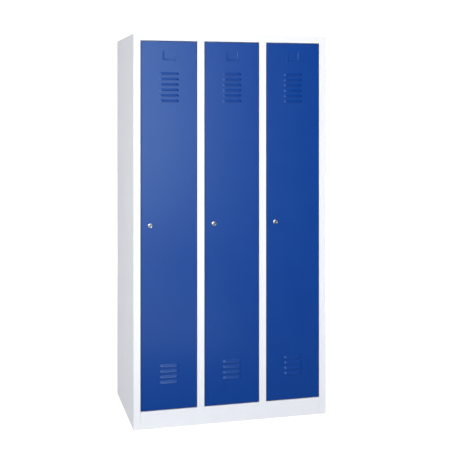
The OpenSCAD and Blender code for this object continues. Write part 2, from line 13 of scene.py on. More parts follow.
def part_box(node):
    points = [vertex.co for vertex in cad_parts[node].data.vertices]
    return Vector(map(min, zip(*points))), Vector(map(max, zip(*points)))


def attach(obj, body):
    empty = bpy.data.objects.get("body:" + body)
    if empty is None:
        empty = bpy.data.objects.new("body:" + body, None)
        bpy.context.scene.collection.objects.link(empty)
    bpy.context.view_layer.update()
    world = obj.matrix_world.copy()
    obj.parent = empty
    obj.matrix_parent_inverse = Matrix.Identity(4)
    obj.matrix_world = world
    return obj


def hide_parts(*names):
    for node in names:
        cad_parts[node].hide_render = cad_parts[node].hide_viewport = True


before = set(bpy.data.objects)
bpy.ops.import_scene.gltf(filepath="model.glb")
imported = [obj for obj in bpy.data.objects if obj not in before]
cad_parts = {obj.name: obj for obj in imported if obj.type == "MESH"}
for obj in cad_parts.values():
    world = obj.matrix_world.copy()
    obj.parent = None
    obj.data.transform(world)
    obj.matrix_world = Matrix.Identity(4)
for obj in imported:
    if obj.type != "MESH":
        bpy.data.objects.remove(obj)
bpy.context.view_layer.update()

bl_info = {
    "name": "Clothes Locker",
    "version": (1, 0, 0),
    "blender": (4, 5, 0),
    "location": "View3D > Sidebar > Locker",
    "description": "Builds the folded sheets, doors, locks and fittings of a three-door clothes locker",
    "category": "Object",
}

BAYS = (1, 2, 3)
HOOKS = (1, 2, 3, 4, 5, 6)

# ---- Places taken from the packed model ----

FRONT_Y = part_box("plinth_front")[0].y
BACK_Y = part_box("back_panel")[1].y
LEFT_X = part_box("left_side")[0].x
RIGHT_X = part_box("right_side")[1].x
ROOF_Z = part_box("roof_panel")[1].z
BODY_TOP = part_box("left_side")[1].z
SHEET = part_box("back_panel")[1].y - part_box("back_panel")[0].y
BACK_INNER_Y = BACK_Y - SHEET
OPEN_Z0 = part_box("left_mullion")[0].z
OPEN_Z1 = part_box("left_mullion")[1].z
STOP_BACK_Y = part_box("left_mullion")[1].y
STOP_Y = STOP_BACK_Y - SHEET
STILE_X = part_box("plinth_front")[0].x
STOP_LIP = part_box("left_side")[1].x - STILE_X
FLOOR_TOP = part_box("floor_panel")[1].z

# ---- Small sizes in metres that no setting changes ----

NUT_WALL = 0.003
WELD_GAP = 0.002
BARREL_PLAY = 0.0002
PLUG_PLAY = 0.00005
LOCK_HOLE_LENGTH = 0.008
KEY_SLOT_DEPTH = 0.013
KEY_SLOT_BEVEL = 0.0006
CAM_SQUARE = 0.007
THREAD_DEPTH = 0.0005
SCREW_SOCKET = 0.003
SCREW_MOUTH = 0.0034
SCREW_SOCKET_DEPTH = 0.0016
SCREW_SHANK_RADIUS = 0.002
RIVET_RADIUS = 0.004
HOLDER_FOLD_RADIUS = 0.0011
HOLDER_FALL = 0.001
LOUVRE_MESH_STEP = 0.0009
PLAIN_MESH_STEP = 0.008
HOOK_LOOP_CORNER = 0.0012
HOOK_CORNER = 0.0018
THREAD_START = 0.001
SAME_POINT = 1e-6

# ---- Shares: of a hook's curve that its tip takes, and of its squared thickness left at the end ----

HOOK_TIP = 0.045
HOOK_TIP_LEAST = 0.02


# ---- Settings ----


class LockerSheetSettings(bpy.types.PropertyGroup):
    """Sizes of the folded sheet work"""

    fold_radius: bpy.props.FloatProperty(
        name="Fold radius", description="Radius of a fold at the middle of the sheet",
        default=0.0012, min=0.0005, max=0.004, precision=4, subtype="DISTANCE", unit="LENGTH",
    )
    flange: bpy.props.FloatProperty(
        name="Flange", description="Width of the flanges that join the body sheets",
        default=0.015, min=0.005, max=0.03, precision=4, subtype="DISTANCE", unit="LENGTH",
    )
    foot: bpy.props.FloatProperty(
        name="Foot flange", description="Width of the flanges that rest on the floor",
        default=0.022, min=0.005, max=0.04, precision=4, subtype="DISTANCE", unit="LENGTH",
    )
    door_sheet: bpy.props.FloatProperty(
        name="Door sheet", description="Thickness of the door sheet",
        default=0.0008, min=0.0005, max=0.002, precision=4, subtype="DISTANCE", unit="LENGTH",
    )
    door_lip: bpy.props.FloatProperty(
        name="Door lip", description="Width of the inward lip round the back of a door",
        default=0.012, min=0.005, max=0.02, precision=4, subtype="DISTANCE", unit="LENGTH",
    )


class LockerVentSettings(bpy.types.PropertyGroup):
    """Sizes and places of the louvres"""

    top_count: bpy.props.IntProperty(
        name="Top louvres", description="Number of louvres near the top of a door",
        default=6, min=0, max=10,
    )
    low_count: bpy.props.IntProperty(
        name="Low louvres", description="Number of louvres near the bottom of a door",
        default=4, min=0, max=10,
    )
    pitch: bpy.props.FloatProperty(
        name="Pitch", description="Spacing of the louvres",
        default=0.025, min=0.015, max=0.05, precision=4, subtype="DISTANCE", unit="LENGTH",
    )
    length: bpy.props.FloatProperty(
        name="Length", description="Overall length of a louvre",
        default=0.090, min=0.04, max=0.15, precision=4, subtype="DISTANCE", unit="LENGTH",
    )
    height: bpy.props.FloatProperty(
        name="Height", description="Height of a louvre above its slot",
        default=0.011, min=0.005, max=0.014, precision=4, subtype="DISTANCE", unit="LENGTH",
    )
    top_drop: bpy.props.FloatProperty(
        name="Top drop", description="Distance from the top of the door to the highest slot",
        default=0.1525, min=0.05, max=0.4, precision=4, subtype="DISTANCE", unit="LENGTH",
    )
    low_rise: bpy.props.FloatProperty(
        name="Low rise", description="Height of the lowest slot above the bottom of the door",
        default=0.1195, min=0.05, max=0.4, precision=4, subtype="DISTANCE", unit="LENGTH",
    )
    fullness: bpy.props.FloatProperty(
        name="Fullness", description="How full a louvre is: 1 is a straight slope and 2 is a round bulge",
        default=1.35, min=1.0, max=3.0,
    )
    softness: bpy.props.FloatProperty(
        name="Softness", description="Width of the soft blend where a louvre leaves the flat sheet",
        default=0.0012, min=0.0002, max=0.003, precision=4, subtype="DISTANCE", unit="LENGTH",
    )


class LockerFittingSettings(bpy.types.PropertyGroup):
    """Sizes of the card holders, locks, rails and hooks"""

    card_rail: bpy.props.FloatProperty(
        name="Card rail", description="Width of the rails of a card holder",
        default=0.0075, min=0.003, max=0.01, precision=4, subtype="DISTANCE", unit="LENGTH",
    )
    key_width: bpy.props.FloatProperty(
        name="Key slot width", description="Width of the key slot",
        default=0.0018, min=0.001, max=0.003, precision=4, subtype="DISTANCE", unit="LENGTH",
    )
    key_height: bpy.props.FloatProperty(
        name="Key slot height", description="Height of the key slot",
        default=0.008, min=0.004, max=0.01, precision=4, subtype="DISTANCE", unit="LENGTH",
    )
    thread_pitch: bpy.props.FloatProperty(
        name="Thread pitch", description="Pitch of the thread on a lock barrel",
        default=0.001, min=0.0005, max=0.002, precision=4, subtype="DISTANCE", unit="LENGTH",
    )
    rail_wall: bpy.props.FloatProperty(
        name="Rail wall", description="Wall of a coat rail",
        default=0.0012, min=0.0008, max=0.003, precision=4, subtype="DISTANCE", unit="LENGTH",
    )
    hook_loop: bpy.props.FloatProperty(
        name="Hook loop", description="Thickness of a hook where it goes round the rail",
        default=0.004, min=0.002, max=0.006, precision=4, subtype="DISTANCE", unit="LENGTH",
    )
    hook_shank: bpy.props.FloatProperty(
        name="Hook shank", description="Thickness of a hook below the rail",
        default=0.006, min=0.003, max=0.01, precision=4, subtype="DISTANCE", unit="LENGTH",
    )


class LockerPaintSettings(bpy.types.PropertyGroup):
    """Colours and gloss of the paint"""

    door_colour: bpy.props.FloatVectorProperty(
        name="Door colour", description="Powder coat of the doors",
        default=(0.0005, 0.0360, 0.220), min=0.0, max=1.0, size=3, subtype="COLOR",
    )
    body_colour: bpy.props.FloatVectorProperty(
        name="Body colour", description="Powder coat of the body",
        default=(0.680, 0.695, 0.735), min=0.0, max=1.0, size=3, subtype="COLOR",
    )
    door_roughness: bpy.props.FloatProperty(
        name="Door roughness", description="Roughness of the door paint", default=0.29, min=0.05, max=1.0,
    )
    body_roughness: bpy.props.FloatProperty(
        name="Body roughness", description="Roughness of the body paint", default=0.38, min=0.05, max=1.0,
    )
    peel_size: bpy.props.FloatProperty(
        name="Orange peel", description="Size of the fine ripple in the paint",
        default=0.0012, min=0.0003, max=0.005, precision=4, subtype="DISTANCE", unit="LENGTH",
    )


class LockerStageSettings(bpy.types.PropertyGroup):
    """Camera and lights"""

    camera_place: bpy.props.FloatVectorProperty(
        name="Camera", description="Place of the camera",
        default=(-1.091, -3.980, 1.477), size=3, precision=3, subtype="TRANSLATION", unit="LENGTH",
    )
    camera_turn: bpy.props.FloatProperty(
        name="Camera turn", description="Turn of the level camera from straight ahead, to the right",
        default=math.radians(13.05), subtype="ANGLE", unit="ROTATION",
    )
    lens: bpy.props.FloatProperty(
        name="Lens", description="Focal length in millimetres", default=66.6, min=10.0,
    )
    shift: bpy.props.FloatVectorProperty(
        name="Shift", description="Sideways and upward shift of the lens",
        default=(0.0893, -0.2673), size=2,
    )
    key_power: bpy.props.FloatProperty(
        name="Key light", description="Power of the large soft light high on the left",
        default=245.0, min=0.0, subtype="POWER", unit="POWER",
    )
    panel_power: bpy.props.FloatProperty(
        name="Panel light", description="Power of the tall soft panel behind the camera",
        default=80.0, min=0.0, subtype="POWER", unit="POWER",
    )
    edge_power: bpy.props.FloatProperty(
        name="Edge light", description="Power of the weaker panel beside the tall one",
        default=4.0, min=0.0, subtype="POWER", unit="POWER",
    )
    bounce_power: bpy.props.FloatProperty(
        name="Bounce light", description="Power of the light thrown up from a board on the floor",
        default=18.0, min=0.0, subtype="POWER", unit="POWER",
    )
    left_power: bpy.props.FloatProperty(
        name="Left panel", description="Power of the soft panel on the left, in front",
        default=75.0, min=0.0, subtype="POWER", unit="POWER",
    )
    side_power: bpy.props.FloatProperty(
        name="Side light", description="Power of the soft light on the left side panel",
        default=84.0, min=0.0, subtype="POWER", unit="POWER",
    )
    upper_power: bpy.props.FloatProperty(
        name="Upper panel",
        description="Power of the panel above the tall one, which the low louvres reflect",
        default=9.0, min=0.0, subtype="POWER", unit="POWER",
    )
    overhead_power: bpy.props.FloatProperty(
        name="Overhead panel", description="Power of the dim panel overhead, which the louvres reflect",
        default=55.0, min=0.0, subtype="POWER", unit="POWER",
    )
    back_power: bpy.props.FloatProperty(
        name="Back light", description="Power of the soft fill on the back, the roof and the right side",
        default=190.0, min=0.0, subtype="POWER", unit="POWER",
    )


# ---- Sheet work ----


def quarter(steps, first=0):
    """The points of a quarter circle of radius one, as its rise and its reach."""
    for k in range(first, steps + 1):
        angle = math.pi / 2 * k / steps
        yield 1 - math.cos(angle), math.sin(angle)


def face_middle(low, high):
    """The x and z of the middle of a box."""
    return (low.x + high.x) / 2, (low.z + high.z) / 2


def rounded_path(corners, radius, steps=5):
    """A folded line: straight runs joined by arcs at its corners."""
    corners = [Vector(c) for c in corners]
    points = [corners[0]]
    for before, at, after in zip(corners, corners[1:], corners[2:]):
        way_in = (at - before).normalized()
        way_out = (after - at).normalized()
        turn = way_in.angle_signed(way_out)
        setback = radius * math.tan(abs(turn) / 2)
        side = Vector((-way_in.y, way_in.x)) * (-1 if turn > 0 else 1)
        start = at - way_in * setback
        centre = start + side * radius
        for k in range(steps + 1):
            angle = -turn * k / steps
            arm = start - centre
            points.append(centre + Vector((
                arm.x * math.cos(angle) - arm.y * math.sin(angle),
                arm.x * math.sin(angle) + arm.y * math.cos(angle),
            )))
    points.append(corners[-1])
    return points


def draw_fold(work, corners, levels, place, radius):
    """Draws a folded sheet: the folded line, drawn out straight over the levels."""
    path = rounded_path(corners, radius)
    rows = [[work.verts.new(place(p.x, p.y, level)) for p in path] for level in levels]
    for low, high in zip(rows, rows[1:]):
        for k in range(len(path) - 1):
            work.faces.new((low[k], low[k + 1], high[k + 1], high[k]))


def drawn_up(across, depth, up):
    """A folded line across and back, drawn out upwards."""
    return across, depth, up


def drawn_back(across, up, depth):
    """A folded line across and up, drawn out backwards."""
    return across, depth, up


def drawn_across(depth, up, across):
    """A folded line back and up, drawn out sideways."""
    return across, depth, up


def rim_of(grid):
    """The outline of a grid of points, once round."""
    last_row, last_column = len(grid) - 1, len(grid[0]) - 1
    rim = [(0, c) for c in range(last_column)]
    rim += [(r, last_column) for r in range(last_row)]
    rim += [(last_row, c) for c in range(last_column, 0, -1)]
    rim += [(r, 0) for r in range(last_row, 0, -1)]
    return rim


def draw_pan(work, columns, rows, depth_at, rings, place):
    """Draws a pan: a face made from columns and rows, and rings that carry its edge round the folds.

    A row is a height and a louvre rise, None on the flat sheet.
    A ring is how far the edge has moved out and back.
    """
    grid = [[work.verts.new(place(a, b, depth_at(a, rise))) for a in columns] for b, rise in rows]
    for r in range(len(rows) - 1):
        if rows[r][0] == rows[r + 1][0]:
            continue
        for c in range(len(columns) - 1):
            work.faces.new((grid[r][c], grid[r][c + 1], grid[r + 1][c + 1], grid[r + 1][c]))
    rim = [(r, c) for r, c in rim_of(grid) if not (r > 0 and rows[r][0] == rows[r - 1][0])]
    before = [grid[r][c] for r, c in rim]
    for out, back in rings:
        now = []
        for r, c in rim:
            a, b = columns[c], rows[r][0]
            a += out * ((c == len(columns) - 1) - (c == 0))
            b += out * ((r == len(rows) - 1) - (r == 0))
            now.append(work.verts.new(place(a, b, back)))
        for k in range(len(rim)):
            n = (k + 1) % len(rim)
            work.faces.new((before[k], before[n], now[n], now[k]))
        before = now


def fold_rings(radius, depth, lip=0.0, steps=5):
    """The rings of a pan edge: a fold back, a straight wall and, if there is a lip, a fold inwards."""
    rings = []
    for k in range(1, steps + 1):
        angle = math.pi / 2 * k / steps
        rings.append((radius * math.sin(angle), radius * (1 - math.cos(angle))))
    if not lip:
        rings.append((radius, depth))
        return rings
    for k in range(steps + 1):
        angle = math.pi / 2 * k / steps
        rings.append((radius * math.cos(angle), depth - radius + radius * math.sin(angle)))
    rings.append((radius - lip, depth))
    return rings


def settle(piece, sharp_angle=35.0):
    """Applies the piece's modifiers, marks its sharp edges and evens its shading."""
    bpy.context.view_layer.update()
    graph = bpy.context.evaluated_depsgraph_get()
    made = bpy.data.meshes.new_from_object(piece.evaluated_get(graph))
    drawn = piece.data
    piece.modifiers.clear()
    piece.data = made
    bpy.data.meshes.remove(drawn)
    made.name = piece.name
    tidy = bmesh.new()
    tidy.from_mesh(made)
    bmesh.ops.remove_doubles(tidy, verts=tidy.verts, dist=SAME_POINT)
    bmesh.ops.recalc_face_normals(tidy, faces=tidy.faces)
    tidy.to_mesh(made)
    tidy.free()
    made.shade_smooth()
    made.set_sharp_from_angle(angle=math.radians(sharp_angle))
    even = piece.modifiers.new("even shading", "WEIGHTED_NORMAL")
    even.keep_sharp = True
    even.weight = 80


def make_hole_tool(centre, radius, length):
    """A round tool along Y that cuts one hole."""
    work = bmesh.new()
    turn = Matrix.Translation(centre) @ Matrix.Rotation(math.pi / 2, 4, "X")
    bmesh.ops.create_cone(
        work, cap_ends=True, segments=48, radius1=radius, radius2=radius, depth=length, matrix=turn,
    )
    mesh = bpy.data.meshes.new("hole_tool")
    work.to_mesh(mesh)
    work.free()
    tool = bpy.data.objects.new("hole_tool", mesh)
    bpy.context.scene.collection.objects.link(tool)
    return tool


def add_piece(name, work, finish, body, replaces=(), thickness=0.0, hole=None):
    """Makes an object from drawn faces, gives it a finish and lets it ride on its body.

    A thickness makes sheet of it, and a hole is a centre, a radius and a length to cut through.
    """
    bmesh.ops.remove_doubles(work, verts=work.verts, dist=SAME_POINT)
    bmesh.ops.recalc_face_normals(work, faces=work.faces)
    mesh = bpy.data.meshes.new(name)
    work.to_mesh(mesh)
    work.free()
    piece = bpy.data.objects.new(name, mesh)
    bpy.context.scene.collection.objects.link(piece)
    mesh.materials.append(finish)
    if thickness:
        solid = piece.modifiers.new("sheet thickness", "SOLIDIFY")
        solid.thickness = thickness
        solid.offset = 0.0
        solid.use_even_offset = True
    if hole:
        tool = make_hole_tool(*hole)
        cut = piece.modifiers.new("hole", "BOOLEAN")
        cut.operation = "DIFFERENCE"
        cut.solver = "EXACT"
        cut.object = tool
    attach(piece, body)
    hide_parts(*replaces)
    settle(piece)
    if hole:
        bpy.data.meshes.remove(tool.data)


def dress_node(node, finish, bevel=0.0):
    """Gives a packed node its finish and, where asked, softly broken edges."""
    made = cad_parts[node]
    made.data.materials.clear()
    made.data.materials.append(finish)
    if not bevel:
        return
    weld = made.modifiers.new("one skin", "WELD")
    weld.merge_threshold = SAME_POINT
    flat = made.modifiers.new("flat faces", "DECIMATE")
    flat.decimate_type = "DISSOLVE"
    flat.angle_limit = math.radians(1)
    soft = made.modifiers.new("broken edges", "BEVEL")
    soft.width = bevel
    soft.segments = 2
    soft.limit_method = "ANGLE"
    soft.angle_limit = math.radians(40)
    soft.harden_normals = True


# ---- Turned, drawn and moulded work ----


def draw_rings(work, rings, closed=False):
    """Joins rings of points, each to the next; closed joins the last to the first."""
    made = [[work.verts.new(p) for p in ring] for ring in rings]
    pairs = list(zip(made, made[1:]))
    if closed:
        pairs.append((made[-1], made[0]))
    for a, b in pairs:
        for k in range(len(a)):
            n = (k + 1) % len(a)
            work.faces.new((a[k], a[n], b[n], b[k]))
    return made


def draw_turned(work, centre, axis, outline, segments=64):
    """Turns an outline of (distance along the axis, radius) about a line.

    A radius may be a function of the angle.
    """
    axis = Vector(axis)
    across = Vector((0, 0, 1)) if abs(axis.z) < 0.5 else Vector((1, 0, 0))
    side = axis.cross(across)
    rings = []
    for along, radius in outline:
        ring = []
        for k in range(segments):
            angle = 2 * math.pi * k / segments
            reach = radius(angle) if callable(radius) else radius
            reach = max(reach, 1e-7)
            spoke = across * math.cos(angle) + side * math.sin(angle)
            ring.append(Vector(centre) + axis * along + spoke * reach)
        rings.append(ring)
    draw_rings(work, rings)


def rounded_box(width, height, radius, steps=4):
    """The outline of a box with round corners, as (across, up) pairs."""
    points = []
    for turn, (sx, sy) in enumerate(((1, 1), (-1, 1), (-1, -1), (1, -1))):
        for k in range(steps + 1):
            angle = math.pi / 2 * (turn + k / steps)
            points.append((
                sx * (width / 2 - radius) + radius * math.cos(angle),
                sy * (height / 2 - radius) + radius * math.sin(angle),
            ))
    return points


def oval(height, width, segments=16):
    """The outline of an upright oval: two half circles joined by straight sides, as (y, z) pairs."""
    radius, rise = width / 2, (height - width) / 2
    points = []
    for half in (1, -1):
        for k in range(segments + 1):
            angle = math.pi * k / segments + (0 if half > 0 else math.pi)
            points.append((radius * math.cos(angle), half * rise + radius * math.sin(angle)))
    return points


def draw_drawn(work, path, section_at, closed=False):
    """Draws a bar of changing section along a line in a YZ plane; path points are (x, y, z)."""
    count = len(path)
    rings = []
    for k, point in enumerate(path):
        before = path[k - 1] if k or closed else point
        after = path[(k + 1) % count] if k < count - 1 or closed else point
        along = (Vector(after) - Vector(before)).normalized()
        normal = Vector((0, -along.z, along.y))
        section = section_at(k / (count - 1))
        rings.append([Vector(point) + Vector((a, 0, 0)) + normal * b for a, b in section])
    made = draw_rings(work, rings, closed)
    if not closed:
        work.faces.new(made[0])
        work.faces.new(made[-1])


# ---- Finishes ----


def new_finish(name):
    """An empty procedural finish: its nodes, links, shader and a place in the object's own space."""
    finish = bpy.data.materials.new(name)
    finish.use_nodes = True
    nodes, links = finish.node_tree.nodes, finish.node_tree.links
    shader = next(n for n in nodes if n.type == "BSDF_PRINCIPLED")
    place = nodes.new("ShaderNodeTexCoord").outputs["Object"]
    return finish, nodes, links, shader, place


def add_noise(nodes, links, place, size, detail=2.0, stretch=None):
    """Noise whose features are about the given size in metres, stretched along an axis where asked."""
    if stretch:
        mapping = nodes.new("ShaderNodeMapping")
        mapping.inputs["Scale"].default_value = stretch
        links.new(place, mapping.inputs["Vector"])
        place = mapping.outputs["Vector"]
    noise = nodes.new("ShaderNodeTexNoise")
    noise.inputs["Scale"].default_value = 1.0 / size
    noise.inputs["Detail"].default_value = detail
    links.new(place, noise.inputs["Vector"])
    return noise.outputs["Fac"]


def vary(nodes, links, factor, low, high, target, at=(0.2, 0.8)):
    """Carries a noise, spread between two numbers, to a shader input."""
    spread = nodes.new("ShaderNodeMapRange")
    spread.interpolation_type = "SMOOTHSTEP"
    spread.inputs["From Min"].default_value = at[0]
    spread.inputs["From Max"].default_value = at[1]
    spread.inputs["To Min"].default_value = low
    spread.inputs["To Max"].default_value = high
    links.new(factor, spread.inputs["Value"])
    links.new(spread.outputs["Result"], target)


def tint(nodes, links, factor, colour, dark, light, target, at=(0.2, 0.8)):
    """Carries a colour that a noise makes a little darker and lighter to a shader input."""
    ramp = nodes.new("ShaderNodeValToRGB")
    ramp.color_ramp.interpolation = "EASE"
    ramp.color_ramp.elements[0].position = at[0]
    ramp.color_ramp.elements[1].position = at[1]
    ramp.color_ramp.elements[0].color = [*(c * dark for c in colour), 1.0]
    ramp.color_ramp.elements[1].color = [*(min(c * light, 1.0) for c in colour), 1.0]
    links.new(factor, ramp.inputs["Fac"])
    links.new(ramp.outputs["Color"], target)


def add_bumps(nodes, links, shader, layers):
    """Stacks bumps of (height, depth in metres, strength) on the shader."""
    last = None
    for height, depth, strength in layers:
        bump = nodes.new("ShaderNodeBump")
        bump.inputs["Strength"].default_value = strength
        bump.inputs["Distance"].default_value = depth
        links.new(height, bump.inputs["Height"])
        if last:
            links.new(last, bump.inputs["Normal"])
        last = bump.outputs["Normal"]
    links.new(last, shader.inputs["Normal"])


def powder_coat(name, colour, roughness, peel_size, sheen, unevenness):
    """Baked powder coat on sheet steel: orange peel, slight waves in the sheet, uneven gloss and tone.

    The roughness stays above 0.274, since noise removal can draw a thin line where it crosses that.
    """
    finish, nodes, links, shader, place = new_finish(name)
    peel = add_noise(nodes, links, place, peel_size, detail=3.0)
    waves = add_noise(nodes, links, place, 0.3, detail=1.0, stretch=(1.0, 1.0, 0.5))
    cloud = add_noise(nodes, links, place, 0.12, detail=3.0)
    shader.inputs["Specular IOR Level"].default_value = 0.42
    shader.inputs["Specular Tint"].default_value = sheen
    tint(nodes, links, cloud, colour, 1.0 - unevenness, 1.0 + unevenness, shader.inputs["Base Color"])
    vary(nodes, links, cloud, roughness - 0.012, roughness + 0.016, shader.inputs["Roughness"])
    add_bumps(nodes, links, shader, [(waves, 0.0012, 0.14), (peel, 0.00004, 0.45)])
    return finish


def plated(name, colour, roughness, grain):
    """Plated metal: fine grain, faint blotches and a little uneven polish."""
    finish, nodes, links, shader, place = new_finish(name)
    fine = add_noise(nodes, links, place, grain, detail=4.0)
    blotch = add_noise(nodes, links, place, 0.006, detail=3.0)
    shader.inputs["Metallic"].default_value = 1.0
    tint(nodes, links, blotch, colour, 0.86, 1.08, shader.inputs["Base Color"])
    vary(nodes, links, blotch, roughness * 0.92, roughness * 1.25, shader.inputs["Roughness"])
    add_bumps(nodes, links, shader, [(fine, 0.00001, 0.3)])
    return finish


def drawn_metal(name, colour, roughness):
    """Bright drawn tube: long fine lines along X, with soft changes of polish."""
    finish, nodes, links, shader, place = new_finish(name)
    lines = add_noise(nodes, links, place, 0.0006, detail=4.0, stretch=(0.02, 1.0, 1.0))
    blotch = add_noise(nodes, links, place, 0.03, detail=3.0)
    shader.inputs["Metallic"].default_value = 1.0
    tint(nodes, links, lines, colour, 0.88, 1.05, shader.inputs["Base Color"])
    vary(nodes, links, blotch, roughness * 0.8, roughness * 1.25, shader.inputs["Roughness"])
    add_bumps(nodes, links, shader, [(lines, 0.00001, 0.4)])
    return finish


def moulded(name, colour, roughness, grain=0.0009):
    """Moulded plastic or rubber: fine spark texture, faint flow marks and uneven sheen."""
    finish, nodes, links, shader, place = new_finish(name)
    spark = add_noise(nodes, links, place, grain, detail=5.0)
    flow = add_noise(nodes, links, place, 0.012, detail=3.0, stretch=(1.0, 1.0, 0.3))
    tint(nodes, links, flow, colour, 0.9, 1.1, shader.inputs["Base Color"])
    vary(nodes, links, spark, roughness - 0.06, roughness + 0.06, shader.inputs["Roughness"])
    add_bumps(nodes, links, shader, [(spark, 0.00004, 0.4)])
    return finish


def finish_for(name):
    """The finish of that name, made the first time it is asked for."""
    if name in bpy.data.materials:
        return bpy.data.materials[name]
    paint = bpy.context.scene.locker_paint
    if name == "door powder coat":
        sheen = (0.74, 0.95, 1.0, 1.0)
        return powder_coat(name, paint.door_colour, paint.door_roughness, paint.peel_size, sheen, 0.02)
    if name == "body powder coat":
        sheen = (1.0, 1.0, 1.0, 1.0)
        return powder_coat(name, paint.body_colour, paint.body_roughness, paint.peel_size, sheen, 0.012)
    if name == "bright lock metal":
        return plated(name, (0.72, 0.77, 0.86), 0.3, 0.0004)
    if name == "plug metal":
        return plated(name, (0.27, 0.28, 0.31), 0.36, 0.0004)
    if name == "zinc plate":
        return plated(name, (0.58, 0.60, 0.62), 0.34, 0.0007)
    if name == "rail tube":
        return drawn_metal(name, (0.66, 0.67, 0.69), 0.21)
    if name == "buffer rubber":
        return moulded(name, (0.025, 0.026, 0.028), 0.72)
    if name == "bush nylon":
        return moulded(name, (0.035, 0.036, 0.04), 0.48)
    if name == "bracket plastic":
        return moulded(name, (0.20, 0.21, 0.225), 0.5)
    if name == "hook plastic":
        return moulded(name, (0.03, 0.031, 0.034), 0.42)
    raise ValueError(f"there is no finish named {name}")


def add_body_sheet(name, work, node):
    """A folded sheet of the body, painted and fixed to the carcass."""
    add_piece(name, work, finish_for("body powder coat"), "carcass", (node,), SHEET)


def add_door_sheet(name, work, bay, node, thickness, hole=None):
    """A folded sheet of a door, painted and riding on that door."""
    add_piece(
        name, work, finish_for("door powder coat"), f"door_{bay}", (node,), thickness, hole,
    )


# ---- Body ----


class LOCKER_OT_side_panels(bpy.types.Operator):
    """Builds the two side panels, each folded round the front into a stile and a door stop"""

    bl_idname = "locker.side_panels"
    bl_label = "Side Panels"

    def execute(self, context):
        sheet = context.scene.locker_sheet
        half = SHEET / 2
        stile = STILE_X - LEFT_X
        front, stop = FRONT_Y + half, STOP_Y + half
        back = BACK_INNER_Y - half
        reveal = stile - half
        shell = [(sheet.flange, back), (half, back), (half, front), (reveal, front), (reveal, STOP_BACK_Y)]
        lip = [(reveal, front + sheet.foot / 2), (reveal, stop), (stile + STOP_LIP, stop)]
        for node, outer, sign in (("left_side", LEFT_X, 1), ("right_side", RIGHT_X, -1)):
            work = bmesh.new()

            def place(inward, depth, up):
                return outer + sign * inward, depth, up

            draw_fold(work, shell, (0.0, BODY_TOP), place, sheet.fold_radius)
            draw_fold(work, lip, (OPEN_Z0, OPEN_Z1), place, sheet.fold_radius)
            sole = [(SHEET, half), (sheet.foot, half)]
            ends = (STOP_BACK_Y, BACK_INNER_Y - SHEET - sheet.foot)
            draw_fold(
                work, sole, ends, lambda inward, up, depth: place(inward, depth, up), sheet.fold_radius,
            )
            add_body_sheet(f"{node}_panel", work, node)
        return {"FINISHED"}


class LOCKER_OT_mullions(bpy.types.Operator):
    """Builds the two mullions between the doors"""

    bl_idname = "locker.mullions"
    bl_label = "Mullions"

    def execute(self, context):
        sheet = context.scene.locker_sheet
        front, stop = FRONT_Y + SHEET / 2, STOP_Y + SHEET / 2
        for node in ("left_mullion", "right_mullion"):
            low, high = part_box(node)
            middle = (low.x + high.x) / 2
            outer = (high.x - low.x) / 2
            reveal = outer - STOP_LIP - SHEET / 2
            path = [
                (-outer, stop), (-reveal, stop), (-reveal, front),
                (reveal, front), (reveal, stop), (outer, stop),
            ]
            work = bmesh.new()
            draw_fold(
                work, path, (low.z, high.z), lambda a, depth, up: (middle + a, depth, up), sheet.fold_radius,
            )
            add_body_sheet(f"{node}_channel", work, node)
        return {"FINISHED"}


class LOCKER_OT_front_rails(bpy.types.Operator):
    """Builds the head rail above the doors and the plinth below them, with a stop for each door"""

    bl_idname = "locker.front_rails"
    bl_label = "Front Rails"

    def execute(self, context):
        sheet = context.scene.locker_sheet
        half = SHEET / 2
        front, stop = FRONT_Y + half, STOP_Y + half
        ends = (STILE_X, -STILE_X)
        head = [(front, BODY_TOP), (front, OPEN_Z1 + half), (stop, OPEN_Z1 + half), (stop, BODY_TOP)]
        foot = FRONT_Y + sheet.foot
        plinth = [(foot, half), (front, half), (front, OPEN_Z0 - half), (stop, OPEN_Z0 - half)]
        rails = (
            ("head_rail", "channel", head, OPEN_Z1 - STOP_LIP, OPEN_Z1 + half),
            ("plinth_front", "board", plinth, OPEN_Z0 - half, FLOOR_TOP),
        )
        for node, ending, path, stop_low, stop_high in rails:
            work = bmesh.new()
            draw_fold(work, path, ends, drawn_across, sheet.fold_radius)
            for bay in BAYS:
                low, high = door_opening(bay)
                span = (low + STOP_LIP, high - STOP_LIP)
                lip = [(stop, stop_low), (stop, stop_high)]
                draw_fold(work, lip, span, drawn_across, sheet.fold_radius)
            add_body_sheet(f"{node}_{ending}", work, node)
        return {"FINISHED"}


def door_opening(bay):
    """The left and right edges of a door opening."""
    left, right = STILE_X, -STILE_X
    if bay > 1:
        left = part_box("left_mullion" if bay == 2 else "right_mullion")[1].x - STOP_LIP
    if bay < 3:
        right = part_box("left_mullion" if bay == 1 else "right_mullion")[0].x + STOP_LIP
    return left, right


